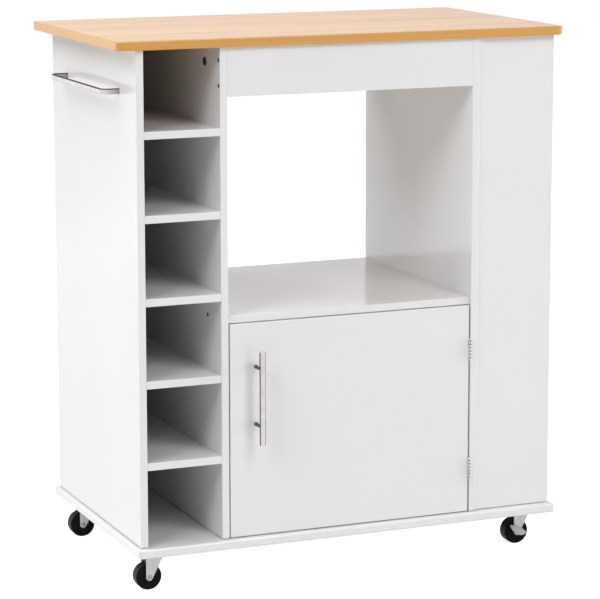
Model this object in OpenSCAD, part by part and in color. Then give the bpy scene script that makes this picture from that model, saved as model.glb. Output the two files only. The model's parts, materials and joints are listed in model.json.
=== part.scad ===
// Kitchen island cart: a wheeled carcass with a wine rack, an open niche over a
// one-door cupboard, a side rack, a towel bar and a solid wood worktop.
// Millimetres, +X right, +Y back, +Z up. The origin is on the floor, under the
// middle of the cart's bounding box.

/* [Worktop] */
// Thickness of the worktop
top_t = 15; // [13:1:30]
// Radius of the worktop's upright corners
top_corner_r = 10; // [4:1:30]
// How far the worktop stands out past the left side panel
left_overhang = 33; // [32:1:60]
// How far the worktop stands out past the side rack
right_overhang = 12; // [8:1:40]
// How far the worktop stands out in front of the carcass
front_overhang = 8; // [2:1:20]
// How far the worktop stands out behind the carcass
back_overhang = 8; // [2:1:20]

/* [Base] */
// Thickness of the base board
base_t = 15; // [13:0.5:25]
// How far the base stands out past the carcass on the left and right
base_side_lip = 7; // [2:0.5:10]
// How far the base stands out in front of the carcass
base_front_lip = 11; // [2:0.5:20]
// How far the base stands out behind the carcass
base_back_lip = 8; // [2:0.5:8]
// Radius of the base board's upright corners
base_corner_r = 3; // [1:0.5:10]

/* [Carcass] */
// Thickness of the carcass boards
board_t = 12.5; // [12:0.5:18]
// Height of the upright panels
carcass_h = 809.5; // [780:0.5:860]
// Depth of the upright panels
carcass_d = 436; // [420:2:440]
// Clear width of the wine rack column
wine_w = 129; // [110:1:160]
// Clear width of the niche and the cupboard
niche_w = 437.5; // [380:0.5:520]
// Width of the side rack column
rack_w = 141; // [120:1:220]
// Thickness of the back panels
back_t = 3; // [2:0.5:4]
// Distance from the carcass's back to the back panels
back_inset = 12; // [11:0.5:16]
// Depth of the grooves that hold the back panels
groove_depth = 4; // [3:0.25:5]
// Clearance around each back panel in its grooves
groove_clear = 0.2; // [0.1:0.05:0.4]

/* [Wine rack] */
// Clear height of the lowest wine bay
wine_first_h = 128.5; // [110:0.5:140]
// Distance from one wine shelf to the next
wine_pitch = 134.7; // [125:0.1:140]

/* [Niche and cupboard] */
// Clear height of the cupboard under the centre shelf
cupboard_h = 359.5; // [330:0.5:420]
// Setback of the centre shelf's front edge
centre_shelf_setback = 5.5; // [2:0.5:12]
// Height of the aprons under the worktop
apron_h = 80; // [72:1:110]
// Height of the loose shelf's underside above the base
loose_shelf_rise = 170; // [120:5:200]
// Depth of the loose shelf
loose_shelf_d = 360; // [300:5:380]
// Clearance at each end of the loose shelf
loose_shelf_clear = 0.5; // [0.3:0.1:1]

/* [Side rack] */
// Setback of the side rack's front panel
rack_setback = 5; // [2:0.5:8]
// Distance from one side rack shelf to the next
rack_pitch = 205; // [180:5:215]

/* [Door] */
// Thickness of the door
door_t = 12.5; // [12:0.5:18]
// Gap on either side of the door
door_gap = 2.5; // [2:0.1:3.5]
// Gap above the door
door_top_gap = 1; // [0.8:0.1:3.5]
// Gap under the door
door_bottom_gap = 1.5; // [1:0.1:3.5]
// Setback of the door's face behind the carcass's front
door_setback = 1; // [0.5:0.5:3]

/* [Handle] */
// Length of the handle's bar
handle_l = 156; // [130:2:200]
// Diameter of the handle's bar
handle_dia = 10; // [8.5:0.5:14]
// Distance between the handle's two posts
handle_pitch = 96; // [64:1:110]
// Distance from the door's face to the front of the bar
handle_reach = 35; // [30:1:45]
// Diameter of the posts
post_dia = 6.5; // [5.5:0.5:8]
// Depth to which each post enters the bar
post_seat = 4; // [2:0.5:6]
// Distance from the door's free edge to the bar's axis
handle_inset = 45; // [30:1:80]
// Distance from the door's top to the middle of the handle
handle_drop = 121; // [110:1:200]

/* [Hinges] */
// Height of each hinge
hinge_h = 38; // [30:1:60]
// Distance from each end of the door to the middle of the hinge
hinge_inset = 75; // [50:1:110]
// Width of each hinge leaf behind the barrel
leaf_w = 11; // [9:0.5:12]
// Diameter of the hinge barrel
barrel_dia = 4.5; // [4:0.1:6]
// Diameter of the hinge pin
hinge_pin_dia = 2.2; // [1.8:0.1:2.6]
// Gap between the two leaves of a closed hinge
leaf_gap = 0.3; // [0.2:0.05:0.5]
// Gap between one knuckle and the next
knuckle_gap = 0.2; // [0.1:0.05:0.4]

/* [Magnetic catch] */
// Length of the catch's body
catch_l = 46; // [40:1:60]
// Depth of the catch's body
catch_d = 14; // [11:1:20]
// Height of the catch's body
catch_h = 12; // [9:1:18]
// Distance from the wine divider to the catch
catch_inset = 20; // [12:1:60]
// Gap between the catch and the strike plate
catch_gap = 0.2; // [0.1:0.1:0.5]
// Thickness of the strike plate
strike_t = 1; // [0.8:0.1:2]

/* [Towel bar] */
// Distance between the middles of the towel bar's feet
towel_span = 270; // [200:5:330]
// Distance from the side panel to the outer face of the bar
towel_reach = 31; // [28:1:32]
// Height of the bar's section
towel_bar_h = 9.5; // [8:0.5:14]
// Thickness of the bar's section
towel_bar_t = 5; // [4.5:0.5:7]
// Inner radius of the bar's two bends
towel_bend_r = 9; // [6:0.5:14]
// Distance from the worktop's underside to the middle of the bar
towel_drop = 72; // [50:1:100]

/* [Casters] */
// Height of each caster, from the floor to the base board
caster_h = 65; // [64:1:75]
// Diameter of the wheels
wheel_dia = 44; // [40:1:46]
// Width of the wheels over their hubs
wheel_w = 22; // [18:1:25]
// Diameter of the axles
axle_dia = 6; // [5:0.5:8]
// Distance from the swivel axis back to the axle
trail = 15; // [12:1:18]
// Side of the square mounting plates
plate_w = 42; // [38:1:46]
// Thickness of the mounting plates
plate_t = 2; // [1.5:0.5:3]
// Thickness of the fork's sheet metal
fork_t = 2; // [1.5:0.5:2.5]
// Diameter of the kingpins
kingpin_dia = 8; // [6:0.5:9]
// Distance from the base's left end to the left swivel axes
caster_inset_left = 46; // [40:1:60]
// Distance from the base's right end to the right swivel axes
caster_inset_right = 31; // [28:1:60]
// Distance from the base's front and back to the left swivel axes
caster_inset_y_left = 53; // [40:1:70]
// Distance from the base's front and back to the right swivel axes
caster_inset_y_right = 66; // [50:1:90]
// Length of the brake pedals
pedal_l = 36; // [28:1:40]
// Depth of the brake pedals below the line between their tips
pedal_d = 12; // [8:1:16]

/* [Fixings] */
// Shank diameter of the carcass screws
screw_dia = 4; // [3.5:0.25:5]
// Head diameter of the carcass screws
screw_head_dia = 7; // [6.5:0.25:8]
// Length of the carcass screws
screw_l = 45; // [35:5:60]
// Shank diameter of the hinge, catch and strike screws
small_screw_dia = 2.5; // [2:0.25:3]
// Head diameter of the hinge, catch and strike screws
small_head_dia = 4.5; // [4:0.25:5]
// Length of the hinge screws
small_screw_l = 10; // [8:1:11]
// Shank diameter of the handle and towel bar screws
metal_screw_dia = 4; // [3:0.5:4]
// Diameter of the wooden dowels
dowel_dia = 6; // [5:0.5:8]
// Length of the dowels in a board's end
dowel_end_l = 20; // [15:1:30]
// Length of the dowels in a board's face
dowel_face_l = 8; // [6:0.5:9]
// Diameter of the cam locks
cam_dia = 15; // [12:0.5:20]
// Depth of the cam locks
cam_depth = 9.5; // [8:0.5:10]
// Distance from the worktop's underside to the cam locks' middle
cam_drop = 28; // [24:1:34]
// Diameter of the cam bolts
cam_bolt_dia = 6; // [5:0.5:7]
// Distance of the cam locks from the carcass's middle, front and back
cam_offset = 150; // [100:5:180]
// Distance between the two screws at either end of the centre shelf
shelf_screw_span = 312; // [240:4:360]
// Distance between the outer base screws under each upright panel
upright_screw_span = 320; // [240:10:370]
// Distance between the two dowels at either end of a wine shelf
shelf_dowel_span = 280; // [200:10:340]
// Distance from the sides of the rack to the dowels of its shelves
rack_dowel_inset = 35; // [25:1:50]
// Distance from the ends of the rack's panels to their outer dowels
panel_dowel_inset = 100; // [60:5:130]
// Height of the rack panels' middle dowels over the middle shelf
panel_dowel_rise = 60; // [30:5:100]

/* [Hidden] */

$fn = 48;
slip = 0.05;      // radial clearance of a turning or pushed-in shaft
end_clear = 0.2;  // clearance at the end of a blind hole
eps = 0.5;        // how far a cutter runs past the face that it opens

white = [0.93, 0.93, 0.92];
oak = [0.80, 0.55, 0.30];
nickel = [0.75, 0.72, 0.69];
zinc = [0.72, 0.73, 0.73];
black = [0.05, 0.05, 0.05];
beech = [0.84, 0.70, 0.50];

// Worktop
top_w = left_overhang + wine_w + niche_w + rack_w + 3 * board_t + right_overhang;
top_d = front_overhang + carcass_d + back_overhang;

// Carcass planes, left to right
left_x = -top_w / 2 + left_overhang;
wine_x = left_x + board_t;
wine_div_x = wine_x + wine_w;
niche_x = wine_div_x + board_t;
right_div_x = niche_x + niche_w;
rack_x = right_div_x + board_t;
right_x = rack_x + rack_w;

// Carcass planes, front to back: the bounding box runs from the handle's bar to
// the worktop's back edge, and the origin is half way between them
handle_front = handle_reach - door_setback;
top_back = top_d - front_overhang;
front_y = (handle_front - top_back) / 2;
back_y = front_y + carcass_d;
mid_y = (front_y + back_y) / 2;
top_front_y = front_y - front_overhang;
back_panel_y = back_y - back_inset - back_t;
rack_front_y = front_y + rack_setback;
rack_inner_y = rack_front_y + board_t;
rack_back_y = back_y - board_t;

// Levels
base_z = caster_h;
floor_z = base_z + base_t;
roof_z = floor_z + carcass_h;
mid_z = floor_z + carcass_h / 2;
centre_shelf_z = floor_z + cupboard_h;
apron_z = roof_z - apron_h;
cam_z = roof_z - cam_drop;
loose_shelf_z = floor_z + loose_shelf_rise;
wine_shelf_z = [for (i = [0:4]) floor_z + wine_first_h + i * wine_pitch];
rack_shelf_z = [for (i = [-1:1]) mid_z + i * rack_pitch - board_t / 2];

// Base board
base_x0 = left_x - base_side_lip;
base_x1 = right_x + base_side_lip;
base_y0 = front_y - base_front_lip;
base_y1 = back_y + base_back_lip;

// Door
door_x0 = niche_x + door_gap;
door_x1 = right_div_x - door_gap;
door_y = front_y + door_setback;
door_z0 = floor_z + door_bottom_gap;
door_z1 = centre_shelf_z - door_top_gap;
handle_x = door_x0 + handle_inset;
handle_y = door_y - handle_reach + handle_dia / 2;
handle_z = door_z1 - handle_drop;
post_z = [handle_z - handle_pitch / 2, handle_z + handle_pitch / 2];

// Hinges: the barrel stands just in front of the carcass, over the middle of the gap
barrel_clear = 0.2;
hinge_x = right_div_x - door_gap / 2;
hinge_y = front_y - barrel_dia / 2 - barrel_clear;
hinge_z = [door_z0 + hinge_inset, door_z1 - hinge_inset];
leaf_t = (door_gap - leaf_gap) / 2;
knuckles = 7;
knuckle_h = (hinge_h + knuckle_gap) / knuckles;
hinge_screw_y = door_y + leaf_w / 2;
hinge_screw_offset = hinge_h / 2 - 7;
hinge_screw_z = [for (z = hinge_z, s = [-1, 1]) z + s * hinge_screw_offset];

// Magnetic catch and its strike plate on the back of the door
catch_x = niche_x + catch_inset;
strike_y = door_y + door_t;
catch_y = strike_y + strike_t + catch_gap;
catch_z = centre_shelf_z - catch_h;
catch_screw_inset = 5;
catch_screw_l = catch_h + 9;
strike_w = 18;
strike_h = 14;
strike_screw_l = 9;
strike_z = door_z1 - strike_h / 2 - 1;

// Screw places
pan_head_d = 8;
pan_head_h = 2.5;
tapped_depth = 9;
end_inset = board_t / 2;
apron_screw_z = [roof_z - 21, roof_z - 62];
apron_screw_y = [front_y + end_inset, back_y - end_inset];
shelf_screw_y = [mid_y - shelf_screw_span / 2, mid_y + shelf_screw_span / 2];
shelf_screw_z = centre_shelf_z + board_t / 2;
upright_screw_y = [mid_y - upright_screw_span / 2, mid_y, mid_y + upright_screw_span / 2];
towel_y = [mid_y - towel_span / 2, mid_y + towel_span / 2];
towel_z = roof_z - towel_drop;
rack_panel_y = [rack_front_y + end_inset, back_y - end_inset];
base_screw_places = concat(
    [for (x = [left_x, wine_div_x, right_div_x], y = upright_screw_y) [x + end_inset, y]],
    [for (y = rack_panel_y) [rack_x + rack_w / 2, y]]);

// Dowels: each wine shelf has two at either end, each side rack shelf two
shelf_dowel_y = [mid_y - shelf_dowel_span / 2, mid_y + shelf_dowel_span / 2];
rack_dowel_x = [rack_x + rack_dowel_inset, rack_x + rack_w - rack_dowel_inset];
panel_dowel_z = [floor_z + panel_dowel_inset, mid_z + panel_dowel_rise, roof_z - panel_dowel_inset];

// Cam locks: upright panels carry two, side rack panels one
cam_wall = 0.2;
cam_y = [mid_y - cam_offset, mid_y + cam_offset];
cam_face_x = [wine_x, wine_div_x, rack_x];
cam_way = [-1, 1, -1];
rack_cam_x = rack_x + rack_w / 2;
cam_bolt_in_top = 9;

// Loose shelf: it lies on four pins
pin_dia = 5;
pin_l = 8;
pin_out = 7;
pin_inset = 60;
loose_shelf_y0 = back_panel_y - 1 - loose_shelf_d;
loose_pin_y = [loose_shelf_y0 + pin_inset, loose_shelf_y0 + loose_shelf_d - pin_inset];

// Casters
swivel_places = [
    [base_x0 + caster_inset_left, base_y0 + caster_inset_y_left],
    [base_x1 - caster_inset_right, base_y0 + caster_inset_y_right],
    [base_x0 + caster_inset_left, base_y1 - caster_inset_y_left],
    [base_x1 - caster_inset_right, base_y1 - caster_inset_y_right]];
wheel_r = wheel_dia / 2;
race_dia = 30;
race_t = 3;
ball_dia = 2.4;
plate_z = base_z - plate_t;
race_z = plate_z - race_t;
crown_z = race_z - ball_dia - slip;
fork_gap = 0.75;
hub_gap = 0.25;
fork_inner = wheel_w / 2 + fork_gap;
fork_outer = fork_inner + fork_t;
tip_r = 5.75;
fork_rake = 27;
plate_hole = plate_w / 2 - 6;
plate_corner_r = 4;
plate_screw_l = 12;
head_dia = 8;
head_t = 2;
nut_af = 10;
nut_t = 4;
lever_t = 1.5;
lever_r = 6;
lever_neck_w = 14;
lever_neck_h = 9;
lever_tilt = 26;
pedal_droop = 50;
pedal_rise = 5;
pedal_shift = 2.5;
pedal_t = 1.2;

// ---------------------------------------------------------------- helpers

// A board from its lowest corner
module board(x, y, z, w, d, h) {
    translate([x, y, z]) cube([w, d, h]);
}

// A flat plate with rounded upright corners, built from exact arcs
module rounded_plate(x0, y0, x1, y1, r, z, t) {
    translate([0, 0, z]) linear_extrude(t) union() {
        translate([x0 + r, y0]) square([x1 - x0 - 2 * r, y1 - y0]);
        translate([x0, y0 + r]) square([x1 - x0, y1 - y0 - 2 * r]);
        for (x = [x0 + r, x1 - r], y = [y0 + r, y1 - r]) translate([x, y]) circle(r);
    }
}

// Turns +Z to the way named: "+x", "-x", "+y", "-y" or "-z"
module point(way) {
    turn = way == "+x" ? [0, 90, 0] : way == "-x" ? [0, -90, 0]
        : way == "+y" ? [-90, 0, 0] : way == "-y" ? [90, 0, 0]
        : way == "-z" ? [180, 0, 0] : [0, 0, 0];
    rotate(turn) children();
}

// A countersunk screw with its head's face at the origin and its shank along +Z;
// grow makes the hole that it seats in
module screw(l, dia, head, grow = 0) {
    cone = (head - dia) / 2;
    run_out = grow > 0 ? eps : 0;
    rest = l - 0.3 - cone + (grow > 0 ? end_clear : 0);
    translate([0, 0, -run_out]) cylinder(d = head + 2 * grow, h = run_out + 0.3);
    translate([0, 0, 0.3]) cylinder(d1 = head + 2 * grow, d2 = dia + 2 * grow, h = cone);
    translate([0, 0, 0.3 + cone]) cylinder(d = dia + 2 * grow, h = rest);
}

module carcass_screw(grow = 0) screw(screw_l, screw_dia, screw_head_dia, grow);
module small_screw(l, grow = 0) screw(l, small_screw_dia, small_head_dia, grow);

// A pan head screw: the head stands behind the origin and the shank runs along +Z
module pan_screw(l) {
    translate([0, 0, -pan_head_h]) difference() {
        cylinder(d = pan_head_d, h = pan_head_h);
        translate([-0.6, -pan_head_d / 3, -eps]) cube([1.2, pan_head_d / 1.5, 1.2 + eps]);
    }
    cylinder(d = metal_screw_dia, h = l);
}

// A dowel, or with grow its two holes, centred on the joint face with its longer half along +Z
module dowel(grow = 0) {
    ends = grow > 0 ? end_clear : 0;
    translate([0, 0, -dowel_face_l + end_clear - ends])
        cylinder(d = dowel_dia + 2 * grow, h = dowel_face_l + dowel_end_l - 2 * end_clear + 2 * ends);
}

// ---------------------------------------------------------------- fixings in place

module at_wine_dowels(z) {
    for (y = shelf_dowel_y) {
        translate([wine_x, y, z + board_t / 2]) point("+x") children();
        translate([wine_div_x, y, z + board_t / 2]) point("-x") children();
    }
}

module at_rack_dowels(z) {
    for (x = rack_dowel_x) {
        translate([x, rack_inner_y, z + board_t / 2]) point("+y") children();
        translate([x, rack_back_y, z + board_t / 2]) point("-y") children();
    }
}

module at_panel_dowels(y) {
    for (z = panel_dowel_z) translate([rack_x, y, z]) point("+x") children();
}

module at_apron_screws() {
    for (y = apron_screw_y, z = apron_screw_z) {
        translate([wine_div_x, y, z]) point("+x") children();
        translate([rack_x, y, z]) point("-x") children();
    }
}

module at_shelf_screws() {
    for (y = shelf_screw_y) {
        translate([wine_div_x, y, shelf_screw_z]) point("+x") children();
        translate([rack_x, y, shelf_screw_z]) point("-x") children();
    }
}

module at_base_screws() {
    for (p = base_screw_places) translate([p[0], p[1], base_z]) children();
}

module at_towel_screws() {
    for (y = towel_y) translate([wine_x, y, towel_z]) point("-x") children();
}

// Cam places: the pocket opens along +Z of each child's frame
module at_cams() {
    for (i = [0:2], y = cam_y)
        translate([cam_face_x[i], y, cam_z]) point(cam_way[i] > 0 ? "-x" : "+x") children();
    translate([rack_cam_x, rack_inner_y, cam_z]) point("+y") children();
    translate([rack_cam_x, rack_back_y, cam_z]) point("-y") children();
}

module cam_holes() {
    at_cams() translate([0, 0, -cam_depth - cam_wall])
        cylinder(d = cam_dia + 2 * slip, h = cam_depth + cam_wall + eps);
    at_cam_bolts() cylinder(d = cam_bolt_dia + 2 * slip, h = cam_drop + cam_bolt_in_top + end_clear);
}

module at_cam_bolts() {
    for (i = [0:2], y = cam_y)
        translate([cam_face_x[i] + cam_way[i] * cam_depth / 2, y, cam_z]) children();
    translate([rack_cam_x, rack_inner_y - cam_depth / 2, cam_z]) children();
    translate([rack_cam_x, rack_back_y + cam_depth / 2, cam_z]) children();
}

module at_handle_posts() {
    for (z = post_z) translate([handle_x, door_y, z]) point("-y") children();
}

module at_swivels() {
    for (p = swivel_places) translate([p[0], p[1], 0]) children();
}

module at_plate_screws() {
    at_swivels() for (x = [-1, 1], y = [-1, 1])
        translate([x * plate_hole, y * plate_hole, plate_z]) children();
}

// ---------------------------------------------------------------- worktop and boards

module worktop() {
    color(oak) difference() {
        rounded_plate(-top_w / 2, top_front_y, top_w / 2, top_front_y + top_d,
            top_corner_r, roof_z, top_t);
        cam_holes();
    }
}

module groove(x) {
    board(x - eps, back_panel_y - groove_clear, floor_z - eps,
        groove_depth + eps, back_t + 2 * groove_clear, carcass_h + 2 * eps);
}

module cupboard_groove(x) {
    board(x, back_panel_y - groove_clear, floor_z - eps,
        groove_depth + eps, back_t + 2 * groove_clear, cupboard_h + eps);
}

module left_side_panel() {
    color(white) difference() {
        board(left_x, front_y, floor_z, board_t, carcass_d, carcass_h);
        groove(wine_x - groove_depth);
        for (z = wine_shelf_z) at_wine_dowels(z) dowel(slip);
        cam_holes();
        at_base_screws() carcass_screw(slip);
        at_towel_screws() cylinder(d = metal_screw_dia + 2 * slip, h = 3 * board_t, center = true);
    }
}

module wine_divider() {
    color(white) difference() {
        board(wine_div_x, front_y, floor_z, board_t, carcass_d, carcass_h);
        groove(wine_div_x);
        cupboard_groove(niche_x - groove_depth);
        for (z = wine_shelf_z) at_wine_dowels(z) dowel(slip);
        cam_holes();
        at_base_screws() carcass_screw(slip);
        at_apron_screws() carcass_screw(slip);
        at_shelf_screws() carcass_screw(slip);
        at_shelf_pins() cylinder(d = pin_dia + 2 * slip, h = pin_l + end_clear);
    }
}

module right_divider() {
    color(white) difference() {
        board(right_div_x, front_y, floor_z, board_t, carcass_d, carcass_h);
        cupboard_groove(right_div_x - eps);
        for (y = rack_panel_y) at_panel_dowels(y) dowel(slip);
        cam_holes();
        at_base_screws() carcass_screw(slip);
        at_apron_screws() carcass_screw(slip);
        at_shelf_screws() carcass_screw(slip);
        at_shelf_pins() cylinder(d = pin_dia + 2 * slip, h = pin_l + end_clear);
        at_frame_hinge_screws() small_screw(small_screw_l, slip);
    }
}

module base_board() {
    color(white) difference() {
        rounded_plate(base_x0, base_y0, base_x1, base_y1, base_corner_r, base_z, base_t);
        at_base_screws() carcass_screw(slip);
        at_plate_screws() cylinder(d = screw_dia + 2 * slip, h = plate_screw_l + end_clear);
    }
}

module apron(y) {
    color(white) difference() {
        board(niche_x, y, apron_z, niche_w, board_t, apron_h);
        at_apron_screws() carcass_screw(slip);
    }
}

module centre_shelf() {
    color(white) difference() {
        board(niche_x, front_y + centre_shelf_setback, centre_shelf_z,
            niche_w, carcass_d - centre_shelf_setback, board_t);
        at_shelf_screws() carcass_screw(slip);
        at_catch_screws() small_screw(catch_screw_l, slip);
    }
}

module wine_shelf(i) {
    color(white) difference() {
        board(wine_x, front_y, wine_shelf_z[i], wine_w, back_panel_y - front_y, board_t);
        at_wine_dowels(wine_shelf_z[i]) dowel(slip);
    }
}

module rack_panel(y) {
    color(white) difference() {
        board(rack_x, y, floor_z, rack_w, board_t, carcass_h);
        at_panel_dowels(y + end_inset) dowel(slip);
        for (z = rack_shelf_z) at_rack_dowels(z) dowel(slip);
        cam_holes();
        at_base_screws() carcass_screw(slip);
    }
}

module rack_shelf(i) {
    color(white) difference() {
        board(rack_x, rack_inner_y, rack_shelf_z[i], rack_w, rack_back_y - rack_inner_y, board_t);
        at_rack_dowels(rack_shelf_z[i]) dowel(slip);
    }
}

module wine_back() {
    color(white) board(wine_x - groove_depth + groove_clear, back_panel_y, floor_z,
        wine_w + 2 * (groove_depth - groove_clear), back_t, carcass_h);
}

module cupboard_back() {
    color(white) board(niche_x - groove_depth + groove_clear, back_panel_y, floor_z,
        niche_w + 2 * (groove_depth - groove_clear), back_t, cupboard_h);
}

// ---------------------------------------------------------------- loose shelf

module loose_shelf() {
    color(white) board(niche_x + loose_shelf_clear, loose_shelf_y0, loose_shelf_z,
        niche_w - 2 * loose_shelf_clear, loose_shelf_d, board_t);
}

// Pin places: +Z of the child's frame points into the board
module at_shelf_pins() {
    for (y = loose_pin_y) {
        translate([niche_x, y, loose_shelf_z - pin_dia / 2]) point("-x") children();
        translate([right_div_x, y, loose_shelf_z - pin_dia / 2]) point("+x") children();
    }
}

module shelf_pins() {
    color(nickel) at_shelf_pins() {
        cylinder(d = pin_dia, h = pin_l);
        translate([0, 0, -pin_out]) cylinder(d = pin_dia, h = pin_out);
    }
}

// ---------------------------------------------------------------- fixings

module dowels() {
    color(beech) {
        for (z = wine_shelf_z) at_wine_dowels(z) dowel();
        for (z = rack_shelf_z) at_rack_dowels(z) dowel();
        for (y = rack_panel_y) at_panel_dowels(y) dowel();
    }
}

module base_screws() {
    color(zinc) at_base_screws() carcass_screw();
}

module carcass_screws() {
    color(zinc) {
        at_apron_screws() carcass_screw();
        at_shelf_screws() carcass_screw();
    }
}

module cam_locks() {
    slot_w = 1.6;
    slot_l = cam_dia * 0.55;
    slot_depth = 2;
    color(zinc) at_cams() translate([0, 0, -cam_depth]) difference() {
        cylinder(d = cam_dia, h = cam_depth);
        for (a = [0, 90]) rotate([0, 0, a])
            translate([-slot_l / 2, -slot_w / 2, cam_depth - slot_depth])
                cube([slot_l, slot_w, slot_depth + eps]);
    }
}

module cam_bolts() {
    color(zinc) at_cam_bolts() translate([0, 0, cam_dia / 2 + end_clear])
        cylinder(d = cam_bolt_dia, h = cam_drop - cam_dia / 2 + cam_bolt_in_top - end_clear);
}

// ---------------------------------------------------------------- door and handle

module door() {
    color(white) difference() {
        board(door_x0, door_y, door_z0, door_x1 - door_x0, door_t, door_z1 - door_z0);
        at_handle_posts() cylinder(d = metal_screw_dia + 2 * slip, h = 3 * door_t, center = true);
        at_door_hinge_screws() small_screw(small_screw_l, slip);
        at_strike_screw() small_screw(strike_screw_l, slip);
    }
}

module handle_bar() {
    bevel = 0.8;
    color(nickel) difference() {
        translate([handle_x, handle_y, handle_z - handle_l / 2]) {
            cylinder(d1 = handle_dia - 2 * bevel, d2 = handle_dia, h = bevel);
            translate([0, 0, bevel]) cylinder(d = handle_dia, h = handle_l - 2 * bevel);
            translate([0, 0, handle_l - bevel])
                cylinder(d1 = handle_dia, d2 = handle_dia - 2 * bevel, h = bevel);
        }
        at_handle_posts() cylinder(d = post_dia + 2 * slip, h = post_length());
    }
}

function post_length() = handle_reach - handle_dia + post_seat;

module handle_posts() {
    color(nickel) at_handle_posts() difference() {
        cylinder(d = post_dia, h = post_length() - end_clear);
        translate([0, 0, -eps]) cylinder(d = metal_screw_dia + 2 * slip, h = tapped_depth + eps);
    }
}

module handle_screws() {
    color(zinc) for (z = post_z) translate([handle_x, door_y + door_t, z]) point("-y")
        pan_screw(door_t + tapped_depth - end_clear);
}

// ---------------------------------------------------------------- hinges

// Knuckles first, first + 2, ... of both barrels, each with its tab to the leaf plate
module leaf(x, first) {
    plate_y = hinge_y + barrel_dia / 2 + barrel_clear;
    plate_end = door_y + leaf_w;
    for (z = hinge_z) translate([0, 0, z - hinge_h / 2]) difference() {
        union() {
            board(x, plate_y, 0, leaf_t, plate_end - plate_y, hinge_h);
            for (k = [first:2:knuckles - 1]) translate([0, 0, k * knuckle_h]) {
                translate([hinge_x, hinge_y, 0]) cylinder(d = barrel_dia, h = knuckle_h - knuckle_gap);
                board(x, hinge_y, 0, leaf_t, plate_y - hinge_y + eps, knuckle_h - knuckle_gap);
            }
        }
        translate([hinge_x, hinge_y, -eps]) cylinder(d = hinge_pin_dia + 2 * slip, h = hinge_h + 2 * eps);
    }
}

module frame_hinge_leaves() {
    color(zinc) difference() {
        leaf(right_div_x - leaf_t, 0);
        at_frame_hinge_screws() small_screw(small_screw_l, slip);
    }
}

module door_hinge_leaves() {
    color(zinc) difference() {
        leaf(door_x1, 1);
        at_door_hinge_screws() small_screw(small_screw_l, slip);
    }
}

module hinge_pins() {
    color(zinc) for (z = hinge_z) translate([hinge_x, hinge_y, z - hinge_h / 2])
        cylinder(d = hinge_pin_dia, h = hinge_h);
}

module at_frame_hinge_screws() {
    for (z = hinge_screw_z) translate([right_div_x - leaf_t, hinge_screw_y, z]) point("+x") children();
}

module at_door_hinge_screws() {
    for (z = hinge_screw_z) translate([door_x1 + leaf_t, hinge_screw_y, z]) point("-x") children();
}

module frame_hinge_screws() {
    color(zinc) at_frame_hinge_screws() small_screw(small_screw_l);
}

module door_screws() {
    color(zinc) {
        at_door_hinge_screws() small_screw(small_screw_l);
        at_strike_screw() small_screw(strike_screw_l);
    }
}

// ---------------------------------------------------------------- magnetic catch

module at_catch_screws() {
    for (x = [catch_x + catch_screw_inset, catch_x + catch_l - catch_screw_inset])
        translate([x, catch_y + catch_d / 2, catch_z]) children();
}

module at_strike_screw() {
    translate([catch_x + catch_l / 2, strike_y + strike_t, strike_z]) point("-y") children();
}

module catch_magnet() {
    color(white) difference() {
        board(catch_x, catch_y, catch_z, catch_l, catch_d, catch_h);
        at_catch_screws() small_screw(catch_screw_l, slip);
    }
}

module catch_screws() {
    color(zinc) at_catch_screws() small_screw(catch_screw_l);
}

module strike_plate() {
    color(zinc) difference() {
        board(catch_x + (catch_l - strike_w) / 2, strike_y, strike_z - strike_h / 2,
            strike_w, strike_t, strike_h);
        at_strike_screw() small_screw(strike_screw_l, slip);
    }
}

// ---------------------------------------------------------------- towel bar

// The bar's section: upright, with half-round edges
module towel_section() {
    flat = towel_bar_h - towel_bar_t;
    translate([-towel_bar_t / 2, -flat / 2]) square([towel_bar_t, flat]);
    for (s = [-1, 1]) translate([0, s * flat / 2]) circle(d = towel_bar_t);
}

module towel_bar() {
    bend = towel_bend_r + towel_bar_t / 2;
    leg = towel_reach - towel_bar_t / 2 - bend;
    run = towel_span - 2 * bend;
    color(nickel) difference() {
        translate([left_x, mid_y, towel_z]) {
            for (s = [-1, 1]) {
                translate([-leg, s * towel_span / 2, 0]) rotate([90, 0, 90])
                    linear_extrude(leg) towel_section();
                translate([-leg, s * (towel_span / 2 - bend), 0]) mirror([0, s < 0 ? 1 : 0, 0])
                    rotate([0, 0, 90]) rotate_extrude(angle = 90)
                        translate([bend, 0]) towel_section();
            }
            translate([-leg - bend, run / 2, 0]) rotate([90, 0, 0]) linear_extrude(run) towel_section();
        }
        at_towel_screws() cylinder(d = metal_screw_dia + 2 * slip, h = board_t + tapped_depth);
    }
}

module towel_bar_screws() {
    color(zinc) at_towel_screws() pan_screw(board_t + tapped_depth - end_clear);
}

// ---------------------------------------------------------------- casters

module caster_plates() {
    color(zinc) difference() {
        at_swivels() {
            rounded_plate(-plate_w / 2, -plate_w / 2, plate_w / 2, plate_w / 2,
                plate_corner_r, plate_z, plate_t);
            translate([0, 0, race_z]) cylinder(d = race_dia, h = race_t);
        }
        at_swivels() translate([0, 0, race_z - eps]) cylinder(d = kingpin_dia + 2 * slip, h = base_z);
        at_plate_screws() cylinder(d = screw_dia + 2 * slip, h = 3 * plate_t, center = true);
    }
}

module caster_screws() {
    color(zinc) at_plate_screws() {
        translate([0, 0, -2]) cylinder(d = pan_head_d - 1, h = 2);
        cylinder(d = screw_dia, h = plate_screw_l);
    }
}

module caster_kingpins() {
    head_z = crown_z - fork_t - slip;
    color(zinc) at_swivels() {
        translate([0, 0, head_z]) cylinder(d = kingpin_dia, h = base_z - head_z - end_clear);
        translate([0, 0, head_z - 1.5]) cylinder(d = kingpin_dia + 5, h = 1.5);
    }
}

module caster_ball_rings() {
    color(zinc) at_swivels() translate([0, 0, race_z - ball_dia / 2])
        rotate_extrude() translate([race_dia / 2 - ball_dia, 0]) circle(d = ball_dia, $fn = 24);
}

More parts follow.
